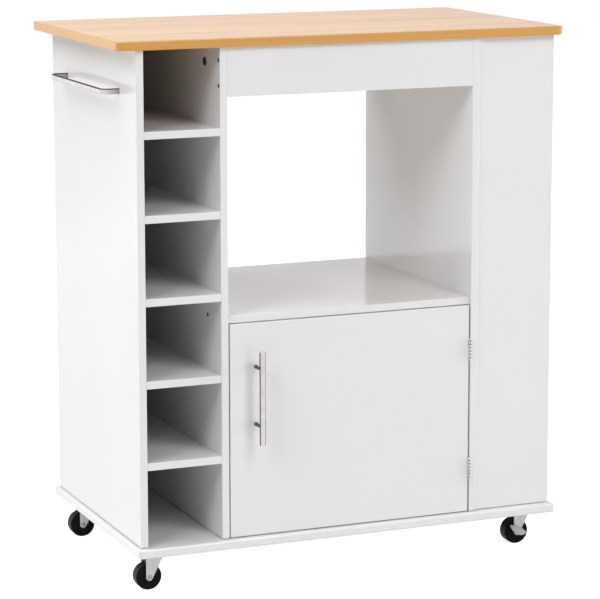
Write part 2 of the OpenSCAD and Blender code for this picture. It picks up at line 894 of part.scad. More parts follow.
// Everything that turns with a fork is drawn with the swivel axis at X = Y = 0 and
// the axle behind it, on the -X side
module at_axle() {
    translate([-trail, 0, wheel_r]) rotate([90, 0, 0]) children();
}

module fork(i) {
    rise = crown_z - wheel_r;
    nose = [tip_r * cos(fork_rake), -tip_r * sin(fork_rake)];
    brow = nose[0] + (rise - nose[1]) * tan(fork_rake);
    color(zinc) translate([swivel_places[i][0], swivel_places[i][1], 0]) difference() {
        union() {
            for (y = [-fork_outer, fork_inner]) translate([-trail, y + fork_t, wheel_r]) rotate([90, 0, 0])
                linear_extrude(fork_t) union() {
                    circle(tip_r);
                    polygon([[-tip_r, 0], nose, [brow, rise], [-tip_r, rise]]);
                }
            translate([0, 0, crown_z - fork_t]) linear_extrude(fork_t) union() {
                translate([-trail - tip_r, -fork_outer]) square([trail + tip_r, 2 * fork_outer]);
                circle(d = race_dia);
            }
        }
        translate([0, 0, crown_z - 2 * fork_t]) cylinder(d = kingpin_dia + 2 * slip, h = 3 * fork_t);
        at_axle() cylinder(d = axle_dia + 2 * slip, h = 3 * fork_outer, center = true);
    }
}

// The head is on the -Y side, outside the brake lever where there is one
module axle(i, braked) {
    head_y = fork_outer + (braked ? lever_t + 2 * slip : 0);
    tail = fork_outer + nut_t + 1.5;
    color(zinc) translate([swivel_places[i][0], swivel_places[i][1], 0]) at_axle() {
        translate([0, 0, -tail]) cylinder(d = axle_dia, h = head_y + tail);
        translate([0, 0, -fork_outer - nut_t]) cylinder(d = nut_af / cos(30), h = nut_t, $fn = 6);
        translate([0, 0, head_y]) cylinder(d = head_dia, h = head_t);
    }
}

// A solid wheel with rounded shoulders and a hub that stands out a little
module wheel(i) {
    shoulder = 2.5;
    dish_r = wheel_r * 0.62;
    dish = 1;
    half = wheel_w / 2;
    color(black) translate([swivel_places[i][0], swivel_places[i][1], 0]) at_axle() difference() {
        rotate_extrude($fn = 96) union() {
            translate([0, -half + shoulder]) square([wheel_r, wheel_w - 2 * shoulder]);
            translate([0, -half]) square([wheel_r - shoulder, wheel_w]);
            for (s = [-1, 1]) translate([wheel_r - shoulder, s * (half - shoulder)]) circle(shoulder);
            translate([0, -half - fork_gap + hub_gap])
                square([axle_dia / 2 + 3, wheel_w + 2 * (fork_gap - hub_gap)]);
        }
        for (s = [-1, 1]) translate([0, 0, s > 0 ? half - dish : -half - eps]) difference() {
            cylinder(r = dish_r, h = dish + eps);
            translate([0, 0, -eps]) cylinder(r = axle_dia / 2 + 3, h = dish + 3 * eps);
        }
        cylinder(d = axle_dia + 2 * slip, h = 2 * wheel_w, center = true);
    }
}

// A rocking lever on the axle, with a lens-shaped tread plate that starts at the top of its
// neck and slopes down past the axle's head
module brake_pedal(i) {
    half = pedal_l / 2;
    upper_r = (half * half + pedal_rise * pedal_rise) / (2 * pedal_rise);
    lower_r = (half * half + pedal_d * pedal_d) / (2 * pedal_d);
    color(zinc) translate([swivel_places[i][0], swivel_places[i][1], 0]) at_axle()
        translate([0, 0, fork_outer + slip]) rotate([0, 0, -lever_tilt]) difference() {
            union() {
                cylinder(r = lever_r, h = lever_t);
                translate([-lever_neck_w / 2, 0, 0]) cube([lever_neck_w, lever_neck_h, lever_t]);
                translate([-pedal_shift, lever_neck_h, lever_t]) rotate([90 + pedal_droop, 0, 0])
                    linear_extrude(pedal_t) intersection() {
                        translate([0, upper_r]) circle(upper_r, $fn = 96);
                        translate([0, pedal_rise + pedal_d - lower_r]) circle(lower_r, $fn = 96);
                        translate([1 - half, 0]) square([pedal_l - 2, pedal_rise + pedal_d]);
                    }
            }
            translate([0, 0, -eps]) cylinder(d = axle_dia + 2 * slip, h = 2 * lever_t);
        }
}

worktop();
left_side_panel();
wine_divider();
right_divider();
base_board();
apron(front_y);  // front_apron
apron(back_y - board_t);  // rear_apron
centre_shelf();
wine_shelf(0);  // wine_shelf_1
wine_shelf(1);  // wine_shelf_2
wine_shelf(2);  // wine_shelf_3
wine_shelf(3);  // wine_shelf_4
wine_shelf(4);  // wine_shelf_5
rack_panel(rack_front_y);  // rack_front_panel
rack_panel(rack_back_y);  // rack_rear_panel
rack_shelf(0);  // rack_shelf_1
rack_shelf(1);  // rack_shelf_2
rack_shelf(2);  // rack_shelf_3
wine_back();
cupboard_back();
loose_shelf();
shelf_pins();
frame_hinge_leaves();
hinge_pins();
frame_hinge_screws();
catch_magnet();
catch_screws();
towel_bar();
towel_bar_screws();
cam_locks();
cam_bolts();
dowels();
base_screws();
carcass_screws();
caster_plates();
caster_screws();
caster_kingpins();
caster_ball_rings();
door();
handle_bar();
handle_posts();
handle_screws();
door_hinge_leaves();
door_screws();
strike_plate();
fork(0);  // fork_fl
fork(1);  // fork_fr
fork(2);  // fork_rl
fork(3);  // fork_rr
axle(0, false);  // axle_fl
axle(1, true);  // axle_fr
axle(2, false);  // axle_rl
axle(3, true);  // axle_rr
wheel(0);  // wheel_fl
wheel(1);  // wheel_fr
wheel(2);  // wheel_rl
wheel(3);  // wheel_rr
brake_pedal(1);  // brake_pedal_fr
brake_pedal(3);  // brake_pedal_rr
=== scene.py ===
import json
import math

import bpy
import numpy as np
from bpy.props import FloatProperty, FloatVectorProperty, IntProperty, PointerProperty
from bpy.types import Operator, Panel, PropertyGroup
from mathutils import Matrix, Vector


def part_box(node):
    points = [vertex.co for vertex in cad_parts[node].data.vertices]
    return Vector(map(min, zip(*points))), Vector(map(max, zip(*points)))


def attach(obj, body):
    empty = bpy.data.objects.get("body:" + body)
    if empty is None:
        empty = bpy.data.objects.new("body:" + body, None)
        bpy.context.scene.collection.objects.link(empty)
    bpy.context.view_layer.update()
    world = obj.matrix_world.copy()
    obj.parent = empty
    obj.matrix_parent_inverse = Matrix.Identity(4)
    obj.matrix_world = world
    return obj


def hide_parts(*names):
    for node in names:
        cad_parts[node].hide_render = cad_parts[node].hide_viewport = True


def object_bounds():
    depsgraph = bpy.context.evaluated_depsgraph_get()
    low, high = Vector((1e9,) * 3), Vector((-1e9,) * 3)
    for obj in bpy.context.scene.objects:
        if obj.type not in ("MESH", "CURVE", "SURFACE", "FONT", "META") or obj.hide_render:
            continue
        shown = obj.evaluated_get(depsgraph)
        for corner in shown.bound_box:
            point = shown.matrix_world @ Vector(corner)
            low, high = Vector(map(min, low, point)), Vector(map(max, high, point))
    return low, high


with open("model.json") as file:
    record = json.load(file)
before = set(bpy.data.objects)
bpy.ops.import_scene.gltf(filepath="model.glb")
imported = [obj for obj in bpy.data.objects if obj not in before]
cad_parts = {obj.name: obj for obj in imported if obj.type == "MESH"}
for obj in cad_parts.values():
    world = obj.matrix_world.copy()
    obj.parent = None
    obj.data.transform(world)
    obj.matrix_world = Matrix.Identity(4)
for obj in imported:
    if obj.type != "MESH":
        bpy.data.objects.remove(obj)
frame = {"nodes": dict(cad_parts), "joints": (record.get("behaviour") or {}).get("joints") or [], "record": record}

bl_info = {
    "name": "Kitchen Island Cart",
    "version": (1, 0, 0),
    "blender": (4, 5, 0),
    "location": "3D View > Sidebar > Island Cart",
    "description": "Builds the finished surfaces of a rolling kitchen island on its packed frame",
    "category": "Add Mesh",
}

MM = 0.001
NEAR = 0.00001
CAD_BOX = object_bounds()
JOINTS = {joint["name"]: joint for joint in frame["joints"]}
SLOTS = {part["node"]: part["material_slot"] for part in frame["record"]["subparts"]}
CORNERS = {"fl": "front_left", "fr": "front_right", "rl": "rear_left", "rr": "rear_right"}

# The rows are the directions of a shape's own u, v and w in the frame, with w the way named
AXES = {
    "+x": np.array([[0, 1, 0], [0, 0, 1], [1, 0, 0]], float),
    "-x": np.array([[0, 0, 1], [0, 1, 0], [-1, 0, 0]], float),
    "+y": np.array([[0, 0, 1], [1, 0, 0], [0, 1, 0]], float),
    "-y": np.array([[1, 0, 0], [0, 0, 1], [0, -1, 0]], float),
    "+z": np.array([[1, 0, 0], [0, 1, 0], [0, 0, 1]], float),
    "-z": np.array([[0, 1, 0], [1, 0, 0], [0, 0, -1]], float),
}


# ---------------------------------------------------------------- sizes and colours

def LengthProperty(name, value, description):
    """A length, its default given in millimetres."""
    return FloatProperty(name=name, description=description, default=value * MM, unit="LENGTH")


def AngleProperty(name, value, description):
    """An angle, its default given in degrees."""
    return FloatProperty(name=name, description=description, default=math.radians(value),
                         subtype="ANGLE")


def ColourProperty(name, value, description):
    """A colour, its default given as linear values."""
    return FloatVectorProperty(name=name, description=description, default=value,
                               subtype="COLOR", size=3)


def PowerProperty(name, value, description):
    """A lamp's power, its default given in watts."""
    return FloatProperty(name=name, description=description, default=value, unit="POWER")


class CartSizes(PropertyGroup):
    """Sizes that only the finished surfaces have."""

    board_edge: LengthProperty("Board edge", 0.8, "Radius of the painted boards' edges")
    base_edge: LengthProperty("Base edge", 3.2, "Radius of the base board's edges")
    back_edge: LengthProperty("Back panel edge", 0.3, "Radius of the thin back panels' edges")
    top_edge: LengthProperty("Worktop edge", 1.8, "Radius along the worktop's rims")
    top_corner: LengthProperty("Worktop corner", 10, "Radius of the worktop's upright corners")
    seam: LengthProperty("Seam", 1.0, "Open joint between the upright boards and the base")
    round_steps: IntProperty(
        name="Roundness", description="Flats in a quarter turn of an edge", default=4, min=2)
    turn_steps: IntProperty(
        name="Turned roundness", description="Sides of a turned part", default=64, min=24)


class CartColours(PropertyGroup):
    """Colours of the finishes."""

    board: ColourProperty("Boards", (0.79, 0.79, 0.79), "White painted boards")
    wood_light: ColourProperty("Wood, light", (0.72, 0.435, 0.215), "Lightest stave of the worktop")
    wood_dark: ColourProperty("Wood, dark", (0.48, 0.27, 0.12), "Darkest stave of the worktop")
    wood_edge: ColourProperty(
        "Wood, edge", (0.61, 0.31, 0.075), "The worktop's rim, cut along the grain")
    nickel: ColourProperty(
        "Nickel", (0.64, 0.595, 0.585), "Satin nickel of the handle and towel bar")
    zinc: ColourProperty("Zinc", (0.50, 0.525, 0.505), "Bright zinc of the casters")
    steel: ColourProperty("Fixings", (0.74, 0.71, 0.69), "Bright plated hinges and small screws")
    # The zinc's dull grey darkened with painted shade to near black, for the cams' and screws' recesses and dark
    # reflections
    cast: ColourProperty("Cast zinc", (0.035, 0.03, 0.03), "Dull cam locks and carcass screws")
    tread: ColourProperty("Wheels", (0.0035, 0.0035, 0.004), "Black moulded wheels")
    beech: ColourProperty("Dowels", (0.62, 0.42, 0.22), "Beech dowels")
    plastic: ColourProperty("White plastic", (0.78, 0.78, 0.75), "Moulded catch body")


class CartStage(PropertyGroup):
    """Camera, floor and lights."""

    lens: FloatProperty(
        name="Lens", description="Focal length, for a frame 36 mm wide", default=158.1,
        unit="CAMERA")
    shift_y: FloatProperty(name="Shift", description="Upward shift of the lens", default=-0.08)
    camera_place: FloatVectorProperty(
        name="Camera", description="Where the camera stands", size=3, subtype="TRANSLATION",
        default=(-1.7177, -4.1174, 1.2680))
    camera_turn: FloatVectorProperty(
        name="Camera turn", description="Azimuth, downward pitch and roll", size=3,
        subtype="EULER",
        default=(math.radians(-22.684), math.radians(9.597), math.radians(-0.062)))
    floor_radius: FloatProperty(
        name="Floor", description="Radius of the floor", default=80.0, unit="LENGTH")
    softbox_size: FloatProperty(
        name="Softbox", description="Side of each square softbox", default=1.8, unit="LENGTH")
    shadow: FloatProperty(
        name="Shadow", description="How much of the floor's white is real light near the cart",
        default=0.16, min=0.0, max=1.0)
    key: PowerProperty("Key", 83.0, "Power of the softbox front left")
    fill: PowerProperty("Fill", 81.0, "Power of the softbox in front")
    right: PowerProperty("Right", 96.0, "Power of the softbox on the right")
    left: PowerProperty("Left", 47.0, "Power of the softbox on the left")
    back: PowerProperty("Back", 21.0, "Power of the softbox behind")
    top: PowerProperty("Top", 59.0, "Power of the softbox overhead")


# ---------------------------------------------------------------- surfaces

def round_off(points, radius, steps, closed=True, lead=0.0):
    """A line with each corner replaced by an arc that touches both its sides.

    An arc of radius r at a corner that turns by t starts r tan(t / 2) before the corner, and
    its normal turns evenly from that of the side before to that of the side after. lead adds
    a point that far outside each end of the arc, so that the flats beside it stay flat.
    Returns the points and their right-hand normals, as two (n, 2) arrays.
    """
    points = np.asarray(points, float)
    inner = points if closed else points[1:-1]
    before = np.roll(points, 1, 0) if closed else points[:-2]
    after = np.roll(points, -1, 0) if closed else points[2:]
    way_in = inner - before
    way_in /= np.linalg.norm(way_in, axis=1, keepdims=True)
    way_out = after - inner
    way_out /= np.linalg.norm(way_out, axis=1, keepdims=True)
    turn = np.arctan2(way_in[:, 0] * way_out[:, 1] - way_in[:, 1] * way_out[:, 0],
                      (way_in * way_out).sum(1))
    radius = np.broadcast_to(np.asarray(radius, float), turn.shape)
    start = inner - way_in * (radius * np.tan(abs(turn) / 2))[:, None]
    first = np.stack([way_in[:, 1], -way_in[:, 0]], 1)
    angle = turn[:, None] * np.linspace(0, 1, steps + 1)
    normal = np.stack([
        first[:, :1] * np.cos(angle) - first[:, 1:] * np.sin(angle),
        first[:, :1] * np.sin(angle) + first[:, 1:] * np.cos(angle)], 2)
    reach = (radius * np.sign(turn))[:, None, None]
    arc = start[:, None] + reach * (normal - first[:, None])
    if lead:
        arc = np.concatenate([arc[:, :1] - lead * way_in[:, None], arc,
                              arc[:, -1:] + lead * way_out[:, None]], 1)
        normal = np.concatenate([normal[:, :1], normal, normal[:, -1:]], 1)
    arc, normal = arc.reshape(-1, 2), normal.reshape(-1, 2)
    if closed:
        return arc, normal
    last = np.array([way_out[-1, 1], -way_out[-1, 0]])
    return np.vstack([points[:1], arc, points[-1:]]), np.vstack([first[:1], normal, last[None]])


def slab(outline, thickness, edge, steps):
    """A plate over an outline with normals, its rims rounded: rows of points (u, v, w).

    From the lower face to the wall the outline stands in by edge (1 - sin a) at height
    edge (1 - cos a), with a going from 0 to a right angle, and the upper rim mirrors it.
    A row just inside each rim and on each end of the wall keeps the flats flat.
    """
    line, normal = outline
    a = np.linspace(0, math.pi / 2, steps + 1)
    inset = np.concatenate([[1.25], 1 - np.sin(a), [0]]) * edge
    height = np.concatenate([[0], 1 - np.cos(a), [1.25]]) * edge
    inset = np.concatenate([inset, inset[::-1]])
    height = np.concatenate([height, thickness - height[::-1]])
    flat = line - inset[:, None, None] * normal
    return np.concatenate([flat, np.broadcast_to(height[:, None, None], flat.shape[:2] + (1,))], 2)


def lathe(profile, sides):
    """A profile of (radius, height) points turned about w: rows of points (u, v, w)."""
    profile = np.asarray(profile, float)
    a = np.linspace(0, 2 * math.pi, sides, endpoint=False)
    radius, height = profile[:, :1], profile[:, 1:]
    return np.stack([radius * np.cos(a), radius * np.sin(a), height + 0 * a], 2)


def sweep(path, across, section):
    """A section of (n, b) points carried along a flat path whose plane has the normal across.

    b runs along across and n along across x tangent, so a section drawn anticlockwise gives
    outward faces. section is (points, 2), or (path rows, points, 2) where it changes.
    """
    path, across = np.asarray(path, float), np.asarray(across, float)
    tangent = np.gradient(path, axis=0)
    tangent /= np.linalg.norm(tangent, axis=1, keepdims=True)
    beside = np.cross(across, tangent)
    section = np.asarray(section, float)
    return path[:, None] + section[..., :1] * beside[:, None] + section[..., 1:] * across


def placed(points, place=(0, 0, 0), way="+z"):
    """Points in a shape's own u, v and w, put in the frame.

    way is the direction of w, or the three directions of u, v and w as rows.
    """
    rows = AXES[way] if isinstance(way, str) else np.asarray(way, float)
    return points @ rows + np.asarray(place, float)


def skin(points):
    """A closed skin over rows of points: quads between the rows, a flat face on each end."""
    rows, columns = points.shape[:2]
    row, column = np.meshgrid(np.arange(rows - 1), np.arange(columns), indexing="ij")
    beside = (column + 1) % columns
    quads = np.stack([row * columns + column, row * columns + beside,
                      (row + 1) * columns + beside, (row + 1) * columns + column], -1)
    first = np.arange(columns)[::-1]
    last = np.arange(columns) + (rows - 1) * columns
    return points.reshape(-1, 3), quads.reshape(-1, 4), [first, last]


def rising(value, start, width):
    """0 up to the start, 1 from a width beyond it, and even in between."""
    return np.clip((value - start) / width, 0, 1)


def add_piece(name, body, slot, skins, stands_for=(), shade=None):
    """Joins skins into one mesh that rides on a body and stands for the nodes named.

    shade is how much painted reflection darkens the metal's colour, 0 to 1: a number, or
    worked out from points and normals.
    """
    start, corners, quads, ends = 0, [], [], []
    for points, faces, caps in skins:
        corners.append(points)
        quads.append(faces + start)
        ends += [cap + start for cap in caps]
        start += len(points)
    quads = np.concatenate(quads)
    mesh = bpy.data.meshes.new(name)
    mesh.from_pydata(np.concatenate(corners).tolist(), [],
                     quads.tolist() + [end.tolist() for end in ends])
    smooth = np.arange(len(mesh.polygons)) < len(quads)
    mesh.polygons.foreach_set("use_smooth", smooth)
    mesh.materials.append(finish(slot))
    mesh.update()
    # The attribute holds painted shade, which the metal's material mixes into its colour
    if shade:
        normals = np.empty(3 * start)
        mesh.vertex_normals.foreach_get("vector", normals)
        if callable(shade):
            shade = shade(np.concatenate(corners), normals.reshape(-1, 3))
        mesh.attributes.new("shade", "FLOAT", "POINT").data.foreach_set(
            "value", np.broadcast_to(shade, start).astype(np.float32))
    piece = bpy.data.objects.new(name, mesh)
    bpy.context.scene.collection.objects.link(piece)
    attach(piece, body)
    if stands_for:
        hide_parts(*stands_for)
    return piece


# ---------------------------------------------------------------- places from the frame

def corners_of(node):
    """The lowest and highest corner of a node, as arrays."""
    low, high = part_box(node)
    return np.array(low), np.array(high)


def extent(points):
    """The lowest corner, the highest corner and the middle of some points."""
    low, high = points.min(0), points.max(0)
    return low, high, (low + high) / 2


def reach_at(points, level):
    """The largest distance from an upright solid's own axis, among its points at a level."""
    middle = extent(points)[2]
    at = abs(points[:, 2] - level) < NEAR
    return np.linalg.norm(points[at, :2] - middle[:2], axis=1).max()


def solids(node):
    """The corner points of each separate solid in a node.

    Equal points get one number, and each triangle hands its lowest number to all three of
    its points until nothing changes, which leaves one number in each solid.
    """
    mesh = frame["nodes"][node].data
    points = np.empty(len(mesh.vertices) * 3)
    mesh.vertices.foreach_get("co", points)
    points = points.reshape(-1, 3)
    mesh.calc_loop_triangles()
    triangles = np.empty(len(mesh.loop_triangles) * 3, int)
    mesh.loop_triangles.foreach_get("vertices", triangles)
    unique, same = np.unique(np.round(points, 7), axis=0, return_inverse=True)
    triangles = same.reshape(-1)[triangles].reshape(-1, 3)
    label = np.arange(len(unique))
    while True:
        before = label.copy()
        np.minimum.at(label, triangles, label[triangles].min(1)[:, None])
        label = label[label]
        if (label == before).all():
            break
    return [unique[label == number] for number in np.unique(label)]


def turned_solid(points):
    """Where a turned solid's outer end is, the way in from it, its length and its radii.

    The axis is the one whose size differs from the other two, which are equal. The outer end
    is the one nearer the corners between the ends: the underside of a head, or the floor of
    a slot. The radii are the widest and that of the inner end.
    """
    low, high, middle = extent(points)
    size = high - low
    axis = int(np.argmin(abs(np.roll(size, -1) - np.roll(size, 1))))
    across = [k for k in range(3) if k != axis]
    radius = np.linalg.norm(points[:, across] - middle[across], axis=1)
    along = points[:, axis]
    between = (along > low[axis] + NEAR) & (along < high[axis] - NEAR)
    from_low = along[between].mean() < middle[axis]
    outer, inner = (low, high) if from_low else (high, low)
    middle[axis] = outer[axis]
    way = ("+" if from_low else "-") + "xyz"[axis]
    return middle, way, size[axis], radius.max(), radius[abs(along - inner[axis]) < NEAR].max()


# ---------------------------------------------------------------- finishes

class Finish:
    """A material under construction, whose nodes are added by kind with their inputs."""

    def __init__(self, name):
        self.material = bpy.data.materials.new(name)
        self.material.use_nodes = True
        self.material.node_tree.nodes.clear()
        self.shader = self.add("ShaderNodeBsdfPrincipled")
        self.add("ShaderNodeOutputMaterial", {"Surface": self.shader.outputs["BSDF"]})
        self.place = self.add("ShaderNodeTexCoord").outputs["Object"]

    def add(self, kind, inputs=None, **settings):
        """A node of that kind, with its settings, and its inputs linked or set."""
        node = self.material.node_tree.nodes.new(kind)
        for name, value in settings.items():
            setattr(node, name, value)
        self.feed(node, inputs or {})
        return node

    def feed(self, node, inputs):
        """Links each input that is given a socket, and sets each that is given a value."""
        for name, value in inputs.items():
            if isinstance(value, bpy.types.NodeSocket):
                self.material.node_tree.links.new(value, node.inputs[name])
            else:
                node.inputs[name].default_value = value

    def noise(self, stretch, detail=3.0, roughness=0.5):
        """Noise on the piece's own coordinates, with that many features to a metre each way."""
        place = self.add("ShaderNodeMapping", {"Vector": self.place, "Scale": stretch})
        return self.add("ShaderNodeTexNoise", {
            "Vector": place.outputs["Vector"], "Scale": 1.0, "Detail": detail,
            "Roughness": roughness}).outputs["Fac"]

    def ramp(self, factor, stops):
        """Colours over a factor, as (place, colour) stops."""
        node = self.add("ShaderNodeValToRGB", {"Fac": factor})
        elements = node.color_ramp.elements
        while len(elements) < len(stops):
            elements.new(0.5)
        for element, (place, colour) in zip(elements, stops):
            element.position = place
            element.color = (*colour, 1.0)
        return node.outputs["Color"]

    def spread(self, factor, low, high):
        """A factor's middle range, 0.3 to 0.7, spread from low to high."""
        return self.add("ShaderNodeMapRange", {
            "Value": factor, "From Min": 0.3, "From Max": 0.7, "To Min": low,
            "To Max": high}).outputs["Result"]

    def math(self, operation, *values):
        """A sum on values or sockets."""
        return self.add("ShaderNodeMath", dict(enumerate(values)), operation=operation).outputs[0]

    def blend(self, first, second, share):
        """share of the second factor and the rest of the first."""
        return self.math("MULTIPLY_ADD", second, share,
                         self.math("MULTIPLY", first, 1.0 - share))

    def mix(self, factor, first, second):
        """The first colour where the factor is 0 and the second where it is 1.

        The node's colour sockets share their names with its others, so they go by number.
        """
        node = self.add("ShaderNodeMix", {0: factor, 6: first, 7: second}, data_type="RGBA")
        return node.outputs[2]

    def bump(self, height, depth, strength=1.0):
        """Bumps of that depth, in metres, on the shader."""
        bump = self.add("ShaderNodeBump", {
            "Height": height, "Distance": depth, "Strength": strength})
        self.feed(self.shader, {"Normal": bump.outputs["Normal"]})

    def set(self, **inputs):
        """Values or sockets for the shader, with underscores for the spaces in its names."""
        self.feed(self.shader, {name.replace("_", " "): value for name, value in inputs.items()})


def tinted(colour, factor):
    """A colour, lighter or darker."""
    return tuple(min(1.0, value * factor) for value in colour)


def painted_board(name):
    """White paint over fibreboard: even, half glossy, with the least ripple of a roller."""
    colours = bpy.context.scene.cart_colours
    look = Finish(name)
    cloud = look.noise((3.0, 3.0, 3.0), 2.0)
    ripple = look.noise((260.0, 260.0, 260.0), 2.0)
    look.set(
        Base_Color=look.ramp(cloud, [(0.35, tinted(colours.board, 0.985)),
                                     (0.65, tinted(colours.board, 1.01))]),
        Roughness=look.spread(cloud, 0.13, 0.18))
    look.bump(ripple, 0.003 * MM, 0.5)
    return look.material


def worktop_wood(name):
    """Narrow glued staves with fine straight grain, under a satin lacquer.

    The broad faces are the pale side of the staves. The rim cuts them, and is darker.
    """
    colours = bpy.context.scene.cart_colours
    look = Finish(name)
    staves = look.add("ShaderNodeTexBrick", {
        "Vector": look.place, "Color1": (0.0, 0.0, 0.0, 1.0), "Color2": (1.0, 1.0, 1.0, 1.0),
        "Mortar": (0.5, 0.5, 0.5, 1.0), "Scale": 1.0, "Mortar Size": 0.0, "Bias": 0.0,
        "Brick Width": 0.43, "Row Height": 0.021}, offset=0.37, offset_frequency=3)
    broad = look.noise((2.4, 125.0, 125.0), 2.0, 0.5)
    fine = look.noise((5.0, 420.0, 420.0), 2.0, 0.6)
    grain = look.blend(broad, fine, 0.25)
    tone = look.blend(look.spread(grain, 0.0, 1.0), staves.outputs["Color"], 0.25)
    face = look.ramp(tone, [(0.1, tinted(colours.wood_dark, 0.9)),
                            (0.36, tinted(colours.wood_light, 0.8)),
                            (0.56, tinted(colours.wood_light, 0.97)),
                            (0.9, tinted(colours.wood_light, 1.1))])
    rim = look.ramp(tone, [(0.1, tinted(colours.wood_edge, 0.92)), (0.5, colours.wood_edge),
                           (0.9, tinted(colours.wood_edge, 1.04))])
    normal = look.add("ShaderNodeNewGeometry").outputs["Normal"]
    upright = look.add("ShaderNodeSeparateXYZ", {"Vector": normal}).outputs["Z"]
    flat = look.add("ShaderNodeMapRange", {
        "Value": look.math("ABSOLUTE", upright), "From Min": 0.75, "From Max": 0.97})
    look.set(Base_Color=look.mix(flat.outputs["Result"], rim, face),
             Roughness=look.spread(broad, 0.30, 0.40), Coat_Weight=0.15, Coat_Roughness=0.18)
    look.bump(grain, 0.02 * MM, 0.3)
    return look.material


def brushed_metal(name, colour, metallic, roughness, stretch, depth, streak=0.0):
    """Metal with fine scratches along one way and a little unevenness in its gloss.

    A piece's shade attribute paints its colour towards near black, a painted reflection
    of a dark room. streak is how far the scratches darken it.
    """
    look = Finish(name)
    scratch = look.noise(stretch, 2.0, 0.7)
    cloud = look.noise((60.0, 60.0, 60.0), 2.0)
    tone = look.blend(cloud, scratch, streak)
    plain = look.ramp(tone, [(0.3, tinted(colour, 0.93 - 0.15 * streak)),
                             (0.7, tinted(colour, 1.05 + 0.15 * streak))])
    # Painted reflection: the shade attribute mixes the colour towards near black where a dark room would be
    # mirrored
    shade = look.add("ShaderNodeAttribute", attribute_name="shade").outputs["Fac"]
    look.set(Base_Color=look.mix(shade, plain, (*tinted(colour, 0.02), 1.0)), Metallic=metallic,
             Roughness=look.spread(scratch, roughness * 0.8, roughness * 1.2),
             Specular_IOR_Level=0.2, Specular_Tint=(0.5, 0.5, 0.5, 1.0))
    look.bump(scratch, depth, 0.4)
    return look.material


def satin_nickel(name):
    """Satin nickel, brushed lengthways on the upright handle and the level towel bar."""
    colour = bpy.context.scene.cart_colours.nickel
    return brushed_metal(name, colour, 0.35, 0.40, (900.0, 300.0, 300.0), 0.003 * MM)


def zinc_plate(name):
    """Bright zinc on pressed steel, with upright streaks from its rolling."""
    colour = bpy.context.scene.cart_colours.zinc
    return brushed_metal(name, colour, 0.5, 0.5, (520.0, 520.0, 60.0), 0.02 * MM, 0.8)


def fixing_steel(name):
    """Bright plating on hinges and small screws."""
    colour = bpy.context.scene.cart_colours.steel
    return brushed_metal(name, colour, 0.35, 0.45, (400.0, 400.0, 400.0), 0.01 * MM)


def dark_zinc(name):
    """Cast zinc of the cam locks and the carcass screws: its own dull grey, darkened nearly to black with painted
    shade for the recesses they sit in and the dark they would mirror.
    """
    colour = bpy.context.scene.cart_colours.cast
    return brushed_metal(name, colour, 0.3, 0.50, (400.0, 400.0, 400.0), 0.02 * MM)


def moulded(name, colour, roughness, grain, gloss=0.5):
    """Moulded plastic with a fine even grain."""
    look = Finish(name)
    texture = look.noise((grain, grain, grain), 3.0, 0.6)
    look.set(
        Base_Color=look.ramp(texture, [(0.3, tinted(colour, 0.85)), (0.7, tinted(colour, 1.15))]),
        Roughness=look.spread(texture, roughness * 0.85, roughness * 1.15),
        Specular_IOR_Level=gloss)
    look.bump(texture, 0.04 * MM, 0.4)
    return look.material


def black_tread(name):
    """The wheels' black plastic, hardly glossy."""
    return moulded(name, bpy.context.scene.cart_colours.tread, 0.38, 700.0, 0.06)


def white_plastic(name):
    """The catch's white plastic."""
    return moulded(name, bpy.context.scene.cart_colours.plastic, 0.45, 500.0)


def beech(name):
    """Beech dowels: short dark flecks along the grain."""
    colour = bpy.context.scene.cart_colours.beech
    look = Finish(name)
    fleck = look.noise((120.0, 700.0, 700.0), 3.0, 0.6)
    look.set(
        Base_Color=look.ramp(fleck, [(0.3, tinted(colour, 0.75)), (0.7, tinted(colour, 1.1))]),
        Roughness=look.spread(fleck, 0.5, 0.65))
    look.bump(fleck, 0.05 * MM, 0.4)
    return look.material


FINISHES = {
    "white_board": painted_board,
    "worktop_wood": worktop_wood,
    "satin_nickel": satin_nickel,
    "zinc_plate": zinc_plate,
    "fixing_steel": fixing_steel,
    "dark_zinc": dark_zinc,
    "black_tread": black_tread,
    "white_plastic": white_plastic,
    "beech": beech,
}


def finish(slot):
    """The material of a slot, made when it is first asked for."""
    return bpy.data.materials.get(slot + "_finish") or FINISHES[slot](slot + "_finish")


# ---------------------------------------------------------------- boards

def box_skin(low, high, edge, corner):
    """A board between two corners, thin along its shortest side, with rounded rims."""
    steps = bpy.context.scene.cart_sizes.round_steps
    low, high = np.asarray(low, float), np.asarray(high, float)
    thin = int(np.argmin(high - low))
    way = "+" + "xyz"[thin]
    u, v = (int(np.argmax(AXES[way][row])) for row in (0, 1))
    corners = [(low[u], low[v]), (high[u], low[v]), (high[u], high[v]), (low[u], high[v])]
    outline = round_off(corners, corner, steps, lead=0.4 * edge)
    place = np.zeros(3)
    place[thin] = low[thin]
    return skin(placed(slab(outline, high[thin] - low[thin], edge, steps), place, way))


def board_skin(node, edge, corner=None, seam=0):
    """A board the size of its node, its foot raised by a seam."""
    low, high = corners_of(node)
    return box_skin(low + np.array([0, 0, seam]), high, edge, corner or 1.4 * edge)


CARCASS_BOARDS = [
    "left_side_panel", "wine_divider", "right_divider", "front_apron", "rear_apron",
    "centre_shelf", "loose_shelf", "rack_front_panel", "rack_rear_panel",
    "rack_shelf_1", "rack_shelf_2", "rack_shelf_3",
    "wine_shelf_1", "wine_shelf_2", "wine_shelf_3", "wine_shelf_4", "wine_shelf_5"]
BACK_PANELS = ["wine_back", "cupboard_back"]
UPRIGHT_BOARDS = [
    "left_side_panel", "wine_divider", "right_divider", "rack_front_panel", "rack_rear_panel"]


class CART_OT_worktop(Operator):
    """Add the solid wood worktop"""

    bl_idname = "cart.worktop"
    bl_label = "Worktop"

    def execute(self, context):
        sizes = context.scene.cart_sizes
        top = board_skin("worktop", sizes.top_edge, sizes.top_corner)
        add_piece("worktop_panel", "carcass", "worktop_wood", [top], ["worktop"])
        return {"FINISHED"}


